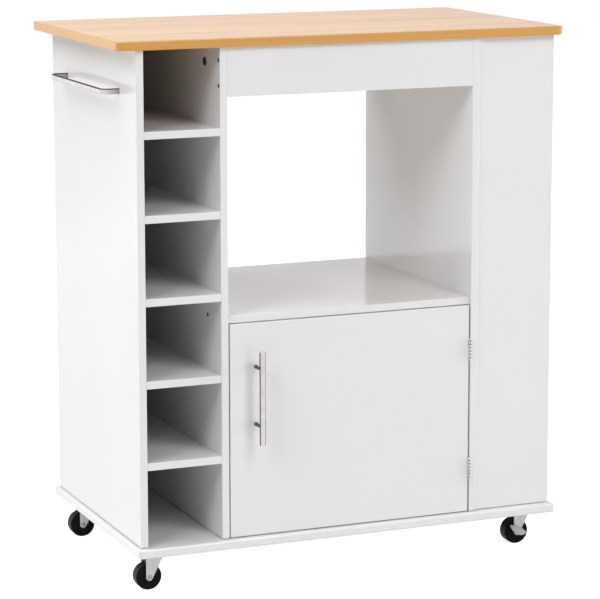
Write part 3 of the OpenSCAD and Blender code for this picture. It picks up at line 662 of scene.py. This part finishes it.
class CART_OT_carcass(Operator):
    """Add the carcass's painted boards, its base and its thin back panels"""

    bl_idname = "cart.carcass"
    bl_label = "Carcass"

    def execute(self, context):
        sizes = context.scene.cart_sizes
        edges = dict.fromkeys(CARCASS_BOARDS, sizes.board_edge)
        edges.update(dict.fromkeys(BACK_PANELS, sizes.back_edge))
        edges["base_board"] = sizes.base_edge
        for node, edge in edges.items():
            seam = sizes.seam if node in UPRIGHT_BOARDS else 0
            board = board_skin(node, edge, seam=seam)
            add_piece(node + "_painted", "carcass", "white_board", [board], [node])
        return {"FINISHED"}


class CART_OT_door(Operator):
    """Add the cupboard's door"""

    bl_idname = "cart.door"
    bl_label = "Door"

    def execute(self, context):
        door = board_skin("door", context.scene.cart_sizes.board_edge)
        add_piece("door_painted", "door", "white_board", [door], ["door"])
        return {"FINISHED"}


# ---------------------------------------------------------------- door furniture

def turned(profile, radius, place, way="+z"):
    """A turned part from a profile of (radius, height) corners, its corners rounded."""
    sizes = bpy.context.scene.cart_sizes
    line, _ = round_off(profile, radius, sizes.round_steps, closed=False)
    return skin(placed(lathe(line, sizes.turn_steps), place, way))


def rod(radius, length, edge, place):
    """A plain upright rod with rounded rims."""
    return turned([(0.1 * radius, 0), (0.5 * radius, 0), (radius, 0), (radius, length),
                   (0.5 * radius, length), (0.1 * radius, length)], edge, place)


class CART_OT_handle(Operator):
    """Add the door's bar handle and its posts"""

    bl_idname = "cart.handle"
    bl_label = "Handle"

    rim: LengthProperty("Rim", 0.9, "Radius of the bar's ends")
    neck: LengthProperty("Neck", 0.5, "How much slimmer the posts are mid-way")
    collar: LengthProperty("Collar", 3, "Length of each post's foot")

    def execute(self, context):
        low, high = corners_of("handle_bar")
        radius = (high[0] - low[0]) / 2
        foot = (low[0] + radius, low[1] + radius, low[2])
        bar = rod(radius, high[2] - low[2], self.rim, foot)

        def shade(points, normals):
            """Painted reflection along both edges, from how far the normal leans to each side."""
            x = normals[:, 0]
            return np.maximum(0.95 * rising(-x, 0.84, 0.1), 0.9 * rising(x, 0.45, 0.25))

        add_piece("handle_bar_turned", "door", "satin_nickel", [bar], ["handle_bar"], shade)
        posts = []
        for points in solids("handle_posts"):
            start, end, middle = extent(points)
            wide, length = (end[0] - start[0]) / 2, end[1] - start[1]
            waist = wide - self.neck
            profile = [(0.1 * wide, 0), (wide, 0), (wide, self.collar),
                       (waist, self.collar + self.neck), (waist, length), (0.1 * wide, length)]
            posts.append(turned(profile, 0.25 * MM, (middle[0], end[1], middle[2]), "-y"))
        # The posts are painted dark all over, a painted reflection of a dark room
        add_piece("handle_posts_turned", "door", "satin_nickel", posts, ["handle_posts"],
                  shade=0.85)
        return {"FINISHED"}


class CART_OT_hinges(Operator):
    """Add the two butt hinges: leaves in the gap beside the door, knuckles in front of it"""

    bl_idname = "cart.hinges"
    bl_label = "Hinges"

    knuckles: IntProperty(name="Knuckles", description="Knuckles in each barrel", default=7)
    gap: LengthProperty("Gap", 2.3, "Gap between two knuckles")
    edge: LengthProperty("Edge", 0.2, "Radius of the pressed edges")

    def plate(self, x0, x1, y0, y1, z0, z1):
        """A thin plate across X with rounded rims."""
        corners = [(y0, z0), (y1, z0), (y1, z1), (y0, z1)]
        outline = round_off(corners, 1.5 * self.edge, 2, lead=0.2 * self.edge)
        return skin(placed(slab(outline, x1 - x0, self.edge, 2), (x0, 0, 0), "+x"))

    def leaf(self, points, first, axis):
        """One leaf: its plate, and every other knuckle of the barrel with a tab to it."""
        low, high = points.min(0), points.max(0)
        radius = axis[1] - low[1]
        seat = axis[1] + radius
        sheet = points[points[:, 1] > high[1] - NEAR][:, 0]
        pitch = (high[2] - low[2] + self.gap) / self.knuckles
        height = pitch - self.gap
        skins = [self.plate(sheet.min(), sheet.max(), seat, high[1], low[2], high[2])]
        for k in range(first, self.knuckles, 2):
            foot = low[2] + k * pitch
            skins.append(rod(radius, height, self.edge, (axis[0], axis[1], foot)))
            skins.append(self.plate(sheet.min(), sheet.max(), axis[1], seat + 2 * self.edge,
                                    foot, foot + height))
        return skins

    def execute(self, context):
        axis = JOINTS["door_hinge"]["pos_m"]
        for node, body, first in (("frame_hinge_leaves", "carcass", 0),
                                  ("door_hinge_leaves", "door", 1)):
            skins = [leaf for points in solids(node) for leaf in self.leaf(points, first, axis)]
            add_piece(node + "_pressed", body, "fixing_steel", skins, [node])
        return {"FINISHED"}


class CART_OT_catch(Operator):
    """Add the magnetic catch under the shelf and its plate on the door"""

    bl_idname = "cart.catch"
    bl_label = "Catch"

    pole: LengthProperty("Pole", 1.5, "Thickness of the two pole plates")
    stand: LengthProperty("Stand", 0.6, "How far the poles stand out of the body")

    def execute(self, context):
        low, high = corners_of("catch_magnet")
        body = box_skin(low + (0, self.stand, 0), high, 0.8 * MM, 2 * MM)
        add_piece("catch_body", "carcass", "white_plastic", [body], ["catch_magnet"])
        strike_low, strike_high = corners_of("strike_plate")
        poles = []
        for side in (-1, 1):
            level = (low[2] + high[2]) / 2 + side * 0.25 * (high[2] - low[2])
            poles.append(box_skin((strike_low[0], low[1], level - self.pole / 2),
                                  (strike_high[0], low[1] + 4 * self.stand, level + self.pole / 2),
                                  0.2 * MM, 0.4 * MM))
        add_piece("catch_poles", "carcass", "fixing_steel", poles)
        plate = box_skin(strike_low, strike_high, 0.25 * MM, 2 * MM)
        add_piece("strike_plate_pressed", "door", "fixing_steel", [plate], ["strike_plate"])
        return {"FINISHED"}


class CART_OT_towel_bar(Operator):
    """Add the towel bar: one flat section bent round at both ends"""

    bl_idname = "cart.towel_bar"
    bl_label = "Towel bar"

    thickness: LengthProperty("Thickness", 5, "Thickness of the bar's section")
    bend: LengthProperty("Bend", 9, "Inner radius of the bends")
    rim: LengthProperty("Rim", 2.1, "Radius of the section's corners")

    def execute(self, context):
        low, high = corners_of("towel_bar")
        half, tall = self.thickness / 2, (high[2] - low[2]) / 2
        corners = [(high[0], high[1] - half), (low[0] + half, high[1] - half),
                   (low[0] + half, low[1] + half), (high[0], low[1] + half)]
        line, _ = round_off(corners, self.bend + half, 16, closed=False, lead=1 * MM)
        path = np.column_stack([line, np.full(len(line), low[2] + tall)])
        box = [(-half, -tall), (half, -tall), (half, tall), (-half, tall)]
        section, _ = round_off(box, self.rim, 6, lead=0.1 * MM)
        bar = skin(sweep(path, (0, 0, -1), section))

        def shade(points, normals):
            """A painted reflection of a dark room: dark on top, and half dark on the front of the rear end."""
            rear = points[:, 1] > high[1] - 2 * self.thickness
            return np.maximum(rising(normals[:, 2], 0.1, 0.25),
                              0.4 * rear * rising(-normals[:, 1], 0, 1))

        add_piece("towel_bar_bent", "carcass", "satin_nickel", [bar], ["towel_bar"], shade)
        return {"FINISHED"}


# ---------------------------------------------------------------- screws and cams

def sunk(points, rows, length, width, depth):
    """Sinks a cross into a turned part's outer face.

    In the first rows w grows by depth times the larger of two arms, each of which is 1 within
    its length and width and falls to 0 over a soft edge.
    """
    soft = 0.25 * MM
    u, v = abs(points[:rows, :, 0]), abs(points[:rows, :, 1])

    def within(place, half):
        """1 inside half a size, 0 outside it, with a soft edge."""
        return np.clip((half - place) / soft + 0.5, 0, 1)

    arms = np.maximum(within(u, length / 2) * within(v, width / 2),
                      within(v, length / 2) * within(u, width / 2))
    points[:rows, :, 2] += depth * arms
    return points


def screw_head(wide, narrow, head, proud):
    """A screw's profile from its outer face inwards, and the number of rows in the face.

    A flat head is a disc that stands proud and narrows at 45 degrees. A pan head, whose
    thickness is given, is a quarter ellipse: radius wide sin a at height thickness
    (1 - cos a), with a going from nearly 0 to a right angle.
    """
    if head:
        a = np.linspace(0.04, 1, 14) * math.pi / 2
        face = np.column_stack([wide * np.sin(a), 0.9 * head * (1 - np.cos(a))])
        neck = [(wide, head), (wide - 0.1 * MM, head), (narrow, head)]
    else:
        face = np.column_stack([np.linspace(0.05, 0.93, 12) * wide, np.full(12, -proud)])
        neck = [(0.98 * wide, -0.8 * proud), (wide, -0.4 * proud), (wide, 0.2 * MM),
                (narrow, wide - narrow)]
    return np.vstack([face, neck]), len(face)


class CART_OT_screws(Operator):
    """Add the screws: flat heads in the boards and hinges, pan heads on metal and door"""

    bl_idname = "cart.screws"
    bl_label = "Screws"

    proud: LengthProperty("Proud", 0.25, "How far a flat head stands out of a board")
    hinge_proud: LengthProperty(
        "Proud in a hinge", 0.08, "How far a flat head stands out of a hinge leaf")
    pan: LengthProperty("Pan head", 2.5, "Thickness of a pan head")
    plate_pan: LengthProperty("Caster screw head", 2, "Thickness of a caster screw's head")

    cross: FloatProperty(
        name="Cross", description="Length of a cross, as a share of its head's radius",
        default=1.2)
    slot: FloatProperty(
        name="Slot", description="Width of a cross's arms, as a share of its head's radius",
        default=0.32)
    sides: IntProperty(name="Sides", description="Sides of each screw", default=32, min=8)

    def execute(self, context):
        kinds = {
            "carcass_screws": ("carcass", 0, self.proud),
            "base_screws": ("carcass", 0, self.proud),
            "catch_screws": ("carcass", 0, self.proud),
            "frame_hinge_screws": ("carcass", 0, self.hinge_proud),
            "door_screws": ("door", 0, self.hinge_proud),
            "towel_bar_screws": ("carcass", self.pan, 0),
            "caster_screws": ("carcass", self.plate_pan, 0),
            "handle_screws": ("door", self.pan, 0)}
        for node, (body, head, proud) in kinds.items():
            skins = []
            for points in solids(node):
                face, way, length, wide, narrow = turned_solid(points)
                profile, rows = screw_head(wide, narrow, head, proud)
                tail = [(narrow, length - 2 * narrow), (0.1 * narrow, length)]
                shape = lathe(np.vstack([profile, tail]), self.sides)
                depth = 0.35 * wide if head else 0.8 * proud
                sunk(shape, rows, self.cross * wide, self.slot * wide, depth)
                skins.append(skin(placed(shape, face, way)))
            add_piece(node + "_driven", body, SLOTS[node], skins, [node])
        return {"FINISHED"}


class CART_OT_cams(Operator):
    """Add the cam locks: dished discs with a rim and a cross"""

    bl_idname = "cart.cams"
    bl_label = "Cam locks"

    proud: LengthProperty("Proud", 0.6, "How far a cam stands out of its board")
    rim: LengthProperty("Rim", 1, "Width of the rim round the dish")
    dish: LengthProperty("Dish", 0.2, "Depth of the dish")
    cross: LengthProperty("Cross", 7.5, "Length of the cross")
    slot: LengthProperty("Slot", 1.9, "Width of the cross's arms")
    depth: LengthProperty("Depth", 0.35, "Depth of the cross")

    def execute(self, context):
        skins = []
        for points in solids("cam_locks"):
            face, way, length, wide, _ = turned_solid(points)
            floor, top = self.dish - self.proud, -self.proud
            centre = [(r, floor) for r in np.linspace(0.03, 0.95, 16) * (wide - self.rim)]
            rim = [(wide - self.rim, top), (wide - 0.2 * MM, top), (wide, top + 0.15 * MM),
                   (wide, length), (0.1 * wide, length)]
            disc = lathe(centre + rim, context.scene.cart_sizes.turn_steps)
            disc = sunk(disc, len(centre), self.cross, self.slot, self.depth)
            skins.append(skin(placed(disc, face, way)))
        add_piece("cam_locks_cast", "carcass", SLOTS["cam_locks"], skins, ["cam_locks"])
        return {"FINISHED"}


# ---------------------------------------------------------------- casters

class CART_OT_caster_tops(Operator):
    """Add what the base carries of each caster: plate, raceway, balls and kingpin"""

    bl_idname = "cart.caster_tops"
    bl_label = "Caster tops"

    balls: IntProperty(name="Balls", description="Balls in each race", default=18)
    sides: IntProperty(name="Sides", description="Sides of each ball", default=12, min=8)

    def execute(self, context):
        plates, races, pins = [], [], []
        ring_low, ring_high = corners_of("caster_ball_rings")
        ball = (ring_high[2] - ring_low[2]) / 2
        for points in solids("caster_plates"):
            low, high, middle = extent(points)
            levels = np.unique(points[:, 2].round(6))
            race = levels[(levels > low[2] + NEAR) & (levels < high[2] - NEAR)][0]
            plates.append(box_skin((low[0], low[1], race), high, 0.4 * MM, 4 * MM))
            reach, tall = reach_at(points, low[2]), race - low[2]
            cup = np.array([(0.3, 0.4), (0.6, 0.4), (0.66, 0.1), (0.85, 0.25), (1, 0), (1, 0.5),
                            (0.86, 1), (0.3, 1)]) * (reach, tall)
            plates.append(turned(cup, 0.3 * MM, (middle[0], middle[1], low[2])))
        for points in solids("caster_ball_rings"):
            low, high, middle = extent(points)
            track = (high[0] - low[0]) / 2 - ball
            a = np.linspace(0.05, 0.95, 9) * math.pi
            profile = np.column_stack([ball * np.sin(a), -ball * np.cos(a)])
            for turn in np.linspace(0, 2 * math.pi, self.balls, endpoint=False):
                place = middle + track * np.array([math.cos(turn), math.sin(turn), 0])
                races.append(skin(placed(lathe(profile, self.sides), place)))
        for points in solids("caster_kingpins"):
            low, high, middle = extent(points)
            wide, length = (high[0] - low[0]) / 2, high[2] - low[2]
            narrow, head = reach_at(points, high[2]), 1.5 * MM
            rivet = [(0.1 * wide, 0), (0.55 * wide, 0), (0.95 * wide, 0.5 * head), (wide, head),
                     (narrow, head), (narrow, length), (0.1 * narrow, length)]
            pins.append(turned(rivet, 0.3 * MM, (middle[0], middle[1], low[2])))
        add_piece("caster_plates_pressed", "carcass", "zinc_plate", plates, ["caster_plates"])
        add_piece("caster_balls", "carcass", "fixing_steel", races, ["caster_ball_rings"])
        add_piece("caster_kingpins_riveted", "carcass", "zinc_plate", pins, ["caster_kingpins"])
        return {"FINISHED"}


class CART_OT_forks(Operator):
    """Add the casters' forks, each a strip of sheet metal folded over its wheel"""

    bl_idname = "cart.forks"
    bl_label = "Caster forks"

    thickness: LengthProperty("Thickness", 2, "Thickness of the sheet metal")
    bend: LengthProperty("Bend", 2.5, "Inner radius of the folds")
    tip: LengthProperty("Tip", 5.75, "Radius of the legs' lower ends")
    rake: AngleProperty("Rake", 27, "Lean of the legs' leading edge")

    def strip(self, level, hub, trail, crown_reach):
        """The strip's ends along X at each level, measured from the swivel's axis.

        Below the hub both ends follow the tip's circle. The trailing edge goes straight up
        from there, and the leading edge leaves the circle along the rake.
        """
        below = np.minimum(level - hub, 0)
        trailing = -np.sqrt(np.maximum(self.tip ** 2 - below ** 2, 0))
        nose = -self.tip * math.sin(self.rake)
        circle = np.sqrt(np.maximum(self.tip ** 2 - (level - hub) ** 2, 0))
        line = self.tip * math.cos(self.rake) + (level - hub - nose) * math.tan(self.rake)
        leading = np.where(level - hub < nose, circle, line)
        return trailing - trail, np.minimum(leading - trail, crown_reach)

    def execute(self, context):
        half = self.thickness / 2
        for key, side in CORNERS.items():
            node = "fork_" + key
            low, high = corners_of(node)
            swivel = JOINTS[side + "_swivel_turn"]["pos_m"]
            axle = JOINTS[side + "_roll"]["pos_m"]
            sheet = solids(node)[0]
            leg = abs(sheet[sheet[:, 2] < axle[2]][:, 1] - swivel[1]).max() - half
            top = high[2] - half
            corners = [(-leg, low[2]), (-leg, top), (leg, top), (leg, low[2])]
            line, _ = round_off(corners, self.bend + half, 8, closed=False, lead=0.5 * MM)
            rise = axle[2] - self.tip * np.cos(np.linspace(0.08, 1, 14) * math.pi / 2)
            tip = np.column_stack([np.full(len(rise), -leg), rise])
            line = np.vstack([tip, line[1:-1], tip[::-1] * (-1, 1)])
            path = np.column_stack([np.full(len(line), swivel[0]), line[:, 0] + swivel[1],
                                    line[:, 1]])
            back, front = self.strip(line[:, 1], axle[2], swivel[0] - axle[0], high[0] - swivel[0])
            wide, edge = 10 * MM, 0.4 * MM
            box = [(-half, -wide), (half, -wide), (half, wide), (-half, wide)]
            section, _ = round_off(box, edge, 3, lead=0.2 * MM)
            section = np.broadcast_to(section, (len(line),) + section.shape).copy()
            middle, spread = (front + back) / 2, np.maximum((front - back) / 2, edge) - wide
            section[..., 1] += np.sign(section[..., 1]) * spread[:, None] + middle[:, None]
            skins = [skin(sweep(path, (1, 0, 0), section))]
            reach, deep = high[0] - swivel[0], self.thickness - 0.1 * MM
            dish = [(0.3 * reach, 0), (0.7 * reach, 0), (0.97 * reach, -0.6 * MM),
                    (reach, 0.3 * MM), (reach, deep), (0.3 * reach, deep)]
            foot = (swivel[0], swivel[1], high[2] - self.thickness + 0.05 * MM)
            skins.append(turned(dish, 0.2 * MM, foot))
            add_piece(node + "_folded", side + "_swivel", "zinc_plate", skins, [node])
        return {"FINISHED"}


class CART_OT_axles(Operator):
    """Add each caster's axle bolt, with its round head and hexagon nut"""

    bl_idname = "cart.axles"
    bl_label = "Caster axles"

    shank: LengthProperty("Shank", 6, "Diameter of the bolt's shank")
    head: LengthProperty("Head", 8, "Diameter of the bolt's head")
    head_depth: LengthProperty("Head depth", 2, "Thickness of the bolt's head")
    nut: LengthProperty("Nut", 10, "Width of the nut across its flats")
    nut_depth: LengthProperty("Nut depth", 4, "Thickness of the nut")
    tail: LengthProperty("Tail", 1.5, "How far the bolt stands out of the nut")

    def execute(self, context):
        for key, side in CORNERS.items():
            node = "axle_" + key
            low, high = corners_of(node)
            hub = JOINTS[side + "_roll"]["pos_m"]
            length, tip = high[1] - low[1], 0.4 * MM
            shank, wide, deep = self.shank / 2, self.head / 2, self.head_depth
            profile = [(0.08 * wide, 0), (0.6 * wide, 0), (0.93 * wide, 0.35 * deep),
                       (wide, 0.7 * deep), (wide, deep), (shank, deep), (shank, length - tip),
                       (shank - tip, length), (0.1 * wide, length)]
            skins = [turned(profile, 0.15 * MM, (hub[0], low[1], hub[2]), "+y")]
            a = (np.arange(6) + 0.5) * math.pi / 3
            across = self.nut / 2 / math.cos(math.pi / 6)
            hexagon = np.column_stack([across * np.cos(a), across * np.sin(a)])
            nut = slab(round_off(hexagon, 0.8 * MM, 3, lead=0.05 * MM), self.nut_depth, 0.5 * MM, 3)
            seat = high[1] - self.tail - self.nut_depth
            skins.append(skin(placed(nut, (hub[0], seat, hub[2]), "+y")))
            # The bolts get painted shade, which darkens their heads and nuts all over
            add_piece(node + "_bolt", side + "_swivel", "zinc_plate", skins, [node], shade=0.4)
        return {"FINISHED"}


class CART_OT_wheels(Operator):
    """Add the casters' moulded wheels"""

    bl_idname = "cart.wheels"
    bl_label = "Caster wheels"

    width: LengthProperty("Width", 22, "Width of the tread and its shoulders")
    shoulder: LengthProperty("Shoulder", 2.5, "Radius of the tread's shoulders")
    dish: LengthProperty("Dish", 1, "Depth of the dish in each side")
    rib: LengthProperty("Rib", 0.7, "Height of the ribs in each dish")

    hub: LengthProperty("Hub", 6, "Radius of the hub")
    bore: LengthProperty("Bore", 3.1, "Radius of the hole in the hub")
    sides: IntProperty(name="Sides", description="Sides of each wheel", default=96, min=24)
    ribs: IntProperty(name="Ribs", description="Ribs in each dish", default=8, min=1)

    def execute(self, context):
        for key, side in CORNERS.items():
            node = "wheel_" + key
            low, high = corners_of(node)
            radius, half = (high[2] - low[2]) / 2, self.width / 2
            hub, hub_half, dish = self.hub, (high[1] - low[1]) / 2, 0.62 * radius
            face = half - self.dish
            side_line = [(self.bore, hub_half), (hub, hub_half), (hub + 0.4 * MM, face),
                         (dish, face), (dish + 0.8 * MM, half), (radius - self.shoulder, half)]
            a = np.linspace(0, math.pi / 2, 7)[1:]
            shoulder = [(radius - self.shoulder + self.shoulder * math.sin(t),
                         half - self.shoulder + self.shoulder * math.cos(t)) for t in a]
            upper = np.array(side_line + shoulder)
            lower = upper * (1, -1)
            rim = np.vstack([lower, upper[::-1]])
            line, _ = round_off(rim, 0.2 * MM, 2, closed=False)
            wheel = lathe(line, self.sides)
            web = (abs(abs(line[:, 1]) - face) < 0.1 * MM) & (line[:, 0] < dish + 0.2 * MM)
            wheel[web, ::self.sides // self.ribs, 2] += self.rib * np.sign(line[web, 1:])
            wheel = skin(placed(wheel, (low + high) / 2, "+y"))
            add_piece(node + "_moulded", side + "_roller", "black_tread", [wheel], [node])
        return {"FINISHED"}


class CART_OT_brakes(Operator):
    """Add the brake pedals: a lever on the axle with a lens-shaped tread plate"""

    bl_idname = "cart.brakes"
    bl_label = "Brake pedals"

    lever: LengthProperty("Lever", 1.5, "Thickness of the lever")
    lever_radius: LengthProperty("Lever radius", 6, "Radius round the axle")
    neck_width: LengthProperty("Neck width", 14, "Width of the lever's neck")
    neck_height: LengthProperty("Neck height", 9, "Top of the neck above the axle")
    plate: LengthProperty("Plate", 1.2, "Thickness of the tread plate")
    length: LengthProperty("Length", 36, "Length of the plate, tip to tip")
    cut: LengthProperty("Cut", 0.5, "How much of each tip is cut off")
    rise: LengthProperty("Rise", 4, "Depth of the plate's upper bow")
    depth: LengthProperty("Depth", 11.5, "Depth of the plate's lower bow")
    shift: LengthProperty("Shift", 2.5, "How far the plate stands to one side")
    tilt: AngleProperty("Tilt", 26, "Lean of the lever about the axle")
    droop: AngleProperty("Droop", 50, "Slope of the tread plate")

    def lens(self):
        """The plate's outline: two circular bows over one chord, their tips cut short.

        A bow of depth d over half a chord c has the radius (c squared + d squared) / 2d.
        """
        half = self.length / 2
        above = (half ** 2 + self.rise ** 2) / (2 * self.rise)
        below = (half ** 2 + self.depth ** 2) / (2 * self.depth)
        x = np.linspace(1, -1, 25) * (half - self.cut)
        upper = np.column_stack([x, above - np.sqrt(above ** 2 - x ** 2)])[::-1]
        lower = np.column_stack([x, self.rise + self.depth - below + np.sqrt(below ** 2 - x ** 2)])
        return round_off(np.vstack([upper, lower]), 0.3 * MM, 2)

    def execute(self, context):
        for key in ("fr", "rr"):
            node, side = "brake_pedal_" + key, CORNERS[key]
            hub = np.array(JOINTS[side + "_roll"]["pos_m"])
            back = corners_of(node)[1][1]
            cos, sin = math.cos(self.tilt), math.sin(self.tilt)
            lever_rows = np.array([[cos, 0, -sin], [sin, 0, cos], [0, -1, 0]])
            r, half, top = self.lever_radius, self.neck_width / 2, self.neck_height
            corners = [(-half, 0), (-r, 0), (-r, -r), (r, -r), (r, 0), (half, 0), (half, top),
                       (-half, top)]
            foot = 0.95 * r / MM
            radius = np.array([0.4, 0.25, foot, foot, 0.25, 0.4, 1, 1]) * MM
            outline = round_off(corners, radius, 10)
            place = (hub[0], back, hub[2])
            skins = [skin(placed(slab(outline, self.lever, 0.3 * MM, 3), place, lever_rows))]
            cos, sin = math.cos(self.droop), math.sin(self.droop)
            plate_rows = np.array([[1, 0, 0], [0, -sin, cos], [0, -cos, -sin]]) @ lever_rows
            root = place + np.array([-self.shift, top, self.lever]) @ lever_rows
            plate = slab(self.lens(), self.plate, 0.3 * MM, 3)
            skins.append(skin(placed(plate, root, plate_rows)))
            # The pedals get a little painted shade, which dims the lamps' bright patch on them
            add_piece(node + "_pressed", side + "_brake", "zinc_plate", skins, [node],
                      shade=0.2)
        return {"FINISHED"}


class CART_OT_hidden(Operator):
    """Give the pieces inside the boards their own finishes"""

    bl_idname = "cart.hidden"
    bl_label = "Hidden fixings"

    def execute(self, context):
        for node in ("dowels", "cam_bolts", "hinge_pins", "shelf_pins"):
            mesh = frame["nodes"][node].data
            mesh.materials.clear()
            mesh.materials.append(finish(SLOTS[node]))
        return {"FINISHED"}


# ---------------------------------------------------------------- stage

def seen_directly(look):
    """1 where a camera, glossy or transmission ray arrives."""
    path = look.add("ShaderNodeLightPath").outputs
    either = look.math("MAXIMUM", path["Is Camera Ray"], path["Is Glossy Ray"])
    return look.math("MAXIMUM", either, path["Is Transmission Ray"])


# Turn from the cart's front in degrees, distance, height, and whether gloss mirrors the lamp
SOFTBOXES = {
    "key": (-55, 3.8, 3.4, True),
    "fill": (15, 3.8, 3.4, True),
    "right": (75, 3.8, 0.9, False),
    "left": (-120, 3.8, 3.4, True),
    "back": (-140, 3.8, 0.4, True),
    "top": (-90, 1.5, 3.6, True),
}
# The camera's frame in millimetres, how far it sees, and where the floor's shadow fades out
SENSOR_WIDTH = 36.0
VIEW_END = 200.0
SHADOW_START, SHADOW_END = 1.2, 4.0


class CART_OT_stage(Operator):
    """Add the camera, the pale floor, the even sky and the softboxes"""

    bl_idname = "cart.stage"
    bl_label = "Stage"

    def camera(self, stage):
        """The camera, pitched down from level, then turned about the upright."""
        azimuth, pitch, roll = stage.camera_turn
        data = bpy.data.cameras.new("stage_camera")
        data.lens, data.sensor_width, data.shift_y = stage.lens, SENSOR_WIDTH, stage.shift_y
        data.clip_end = VIEW_END
        camera = bpy.data.objects.new("stage_camera", data)
        bpy.context.scene.collection.objects.link(camera)
        turn = (Matrix.Rotation(azimuth, 3, "Z") @ Matrix.Rotation(math.pi / 2 - pitch, 3, "X")
                @ Matrix.Rotation(roll, 3, "Z"))
        camera.matrix_world = Matrix.Translation(stage.camera_place) @ turn.to_4x4()
        bpy.context.scene.camera = camera

    def floor(self, stage):
        """A disc at height 0: rings of points at growing radii round the origin."""
        a = np.linspace(0, 2 * math.pi, 96, endpoint=False)
        radius = np.geomspace(0.05, stage.floor_radius, 16)[:, None]
        ring = np.stack([radius * np.cos(a), radius * np.sin(a), 0 * radius * a], 2)
        points, quads, caps = skin(ring[::-1])
        mesh = bpy.data.meshes.new("stage_floor")
        mesh.from_pydata(points.tolist(), [], quads[:, ::-1].tolist() + [caps[1][::-1].tolist()])
        mesh.update()
        look = Finish("stage_floor_finish")
        look.material.node_tree.nodes.remove(look.shader)
        plain = look.add("ShaderNodeBsdfDiffuse", {"Color": (0.8, 0.8, 0.8, 1.0)})
        reach = look.add("ShaderNodeVectorMath", {0: look.place}, operation="LENGTH")
        strength = look.add("ShaderNodeMapRange", {
            "Value": reach.outputs["Value"], "From Min": SHADOW_START, "From Max": SHADOW_END,
            "To Min": 1.0 - stage.shadow, "To Max": 1.0})
        glow = look.add("ShaderNodeEmission", {
            "Color": (1.0, 1.0, 1.0, 1.0), "Strength": strength.outputs["Result"]})
        seen = look.add("ShaderNodeAddShader", {0: plain.outputs[0], 1: glow.outputs[0]})
        mixed = look.add("ShaderNodeMixShader", {
            0: seen_directly(look), 1: plain.outputs[0], 2: seen.outputs[0]})
        output = next(node for node in look.material.node_tree.nodes
                      if node.bl_idname == "ShaderNodeOutputMaterial")
        look.feed(output, {"Surface": mixed.outputs[0]})
        mesh.materials.append(look.material)
        floor = bpy.data.objects.new("stage_floor", mesh)
        bpy.context.scene.collection.objects.link(floor)

    def sky(self):
        """White where it is seen directly or mirrored, with no light of its own."""
        world = bpy.data.worlds.new("stage_sky")
        world.use_nodes = True
        world.node_tree.nodes.clear()
        sky = Finish.__new__(Finish)
        sky.material = world
        white = sky.add("ShaderNodeBackground", {
            "Color": (1.0, 1.0, 1.0, 1.0), "Strength": seen_directly(sky)})
        sky.add("ShaderNodeOutputWorld", {"Surface": white.outputs[0]})
        bpy.context.scene.world = world

    def softbox(self, stage, name):
        """A square lamp aimed at the middle of the cart.

        A lamp that is not mirrored leaves no bright patch in glossy surfaces.
        """
        azimuth, distance, height, mirrored = SOFTBOXES[name]
        data = bpy.data.lights.new("softbox_" + name, "AREA")
        data.shape, data.size, data.energy = "SQUARE", stage.softbox_size, getattr(stage, name)
        light = bpy.data.objects.new("softbox_" + name, data)
        bpy.context.scene.collection.objects.link(light)
        light.visible_camera, light.visible_glossy = False, mirrored
        azimuth = math.radians(azimuth)
        place = Vector((distance * math.sin(azimuth), -distance * math.cos(azimuth), height))
        aim = (Vector(CAD_BOX[0]) + Vector(CAD_BOX[1])) / 2
        turn = (aim - place).to_track_quat("-Z", "Y").to_matrix().to_4x4()
        light.matrix_world = Matrix.Translation(place) @ turn

    def execute(self, context):
        stage = context.scene.cart_stage
        self.camera(stage)
        self.floor(stage)
        self.sky()
        for name in SOFTBOXES:
            self.softbox(stage, name)
        context.scene.view_settings.view_transform = "Standard"
        return {"FINISHED"}


# ---------------------------------------------------------------- add-on

PIECES = [
    CART_OT_worktop, CART_OT_carcass, CART_OT_door, CART_OT_handle, CART_OT_hinges,
    CART_OT_catch, CART_OT_towel_bar, CART_OT_screws, CART_OT_cams, CART_OT_caster_tops,
    CART_OT_forks, CART_OT_axles, CART_OT_wheels, CART_OT_brakes, CART_OT_hidden,
    CART_OT_stage]


class CART_PT_panel(Panel):
    """The cart's pieces, sizes, colours and stage"""

    bl_idname = "CART_PT_panel"
    bl_label = "Kitchen Island Cart"
    bl_space_type = "VIEW_3D"
    bl_region_type = "UI"
    bl_category = "Island Cart"

    def draw(self, context):
        for piece in PIECES:
            self.layout.operator(piece.bl_idname)
        for group in (context.scene.cart_sizes, context.scene.cart_colours,
                      context.scene.cart_stage):
            column = self.layout.column()
            for name in group.bl_rna.properties.keys():
                if name not in ("rna_type", "name"):
                    column.prop(group, name)


CLASSES = [CartSizes, CartColours, CartStage, *PIECES, CART_PT_panel]


def register():
    """Adds the classes and the scene's property groups."""
    for cls in CLASSES:
        bpy.utils.register_class(cls)
    bpy.types.Scene.cart_sizes = PointerProperty(type=CartSizes)
    bpy.types.Scene.cart_colours = PointerProperty(type=CartColours)
    bpy.types.Scene.cart_stage = PointerProperty(type=CartStage)


def unregister():
    """Takes them away again."""
    del bpy.types.Scene.cart_stage
    del bpy.types.Scene.cart_colours
    del bpy.types.Scene.cart_sizes
    for cls in reversed(CLASSES):
        bpy.utils.unregister_class(cls)


def main():
    """Builds every piece."""
    register()
    for piece in PIECES:
        group, name = piece.bl_idname.split(".")
        getattr(getattr(bpy.ops, group), name)()


if __name__ == "__main__":
    main()
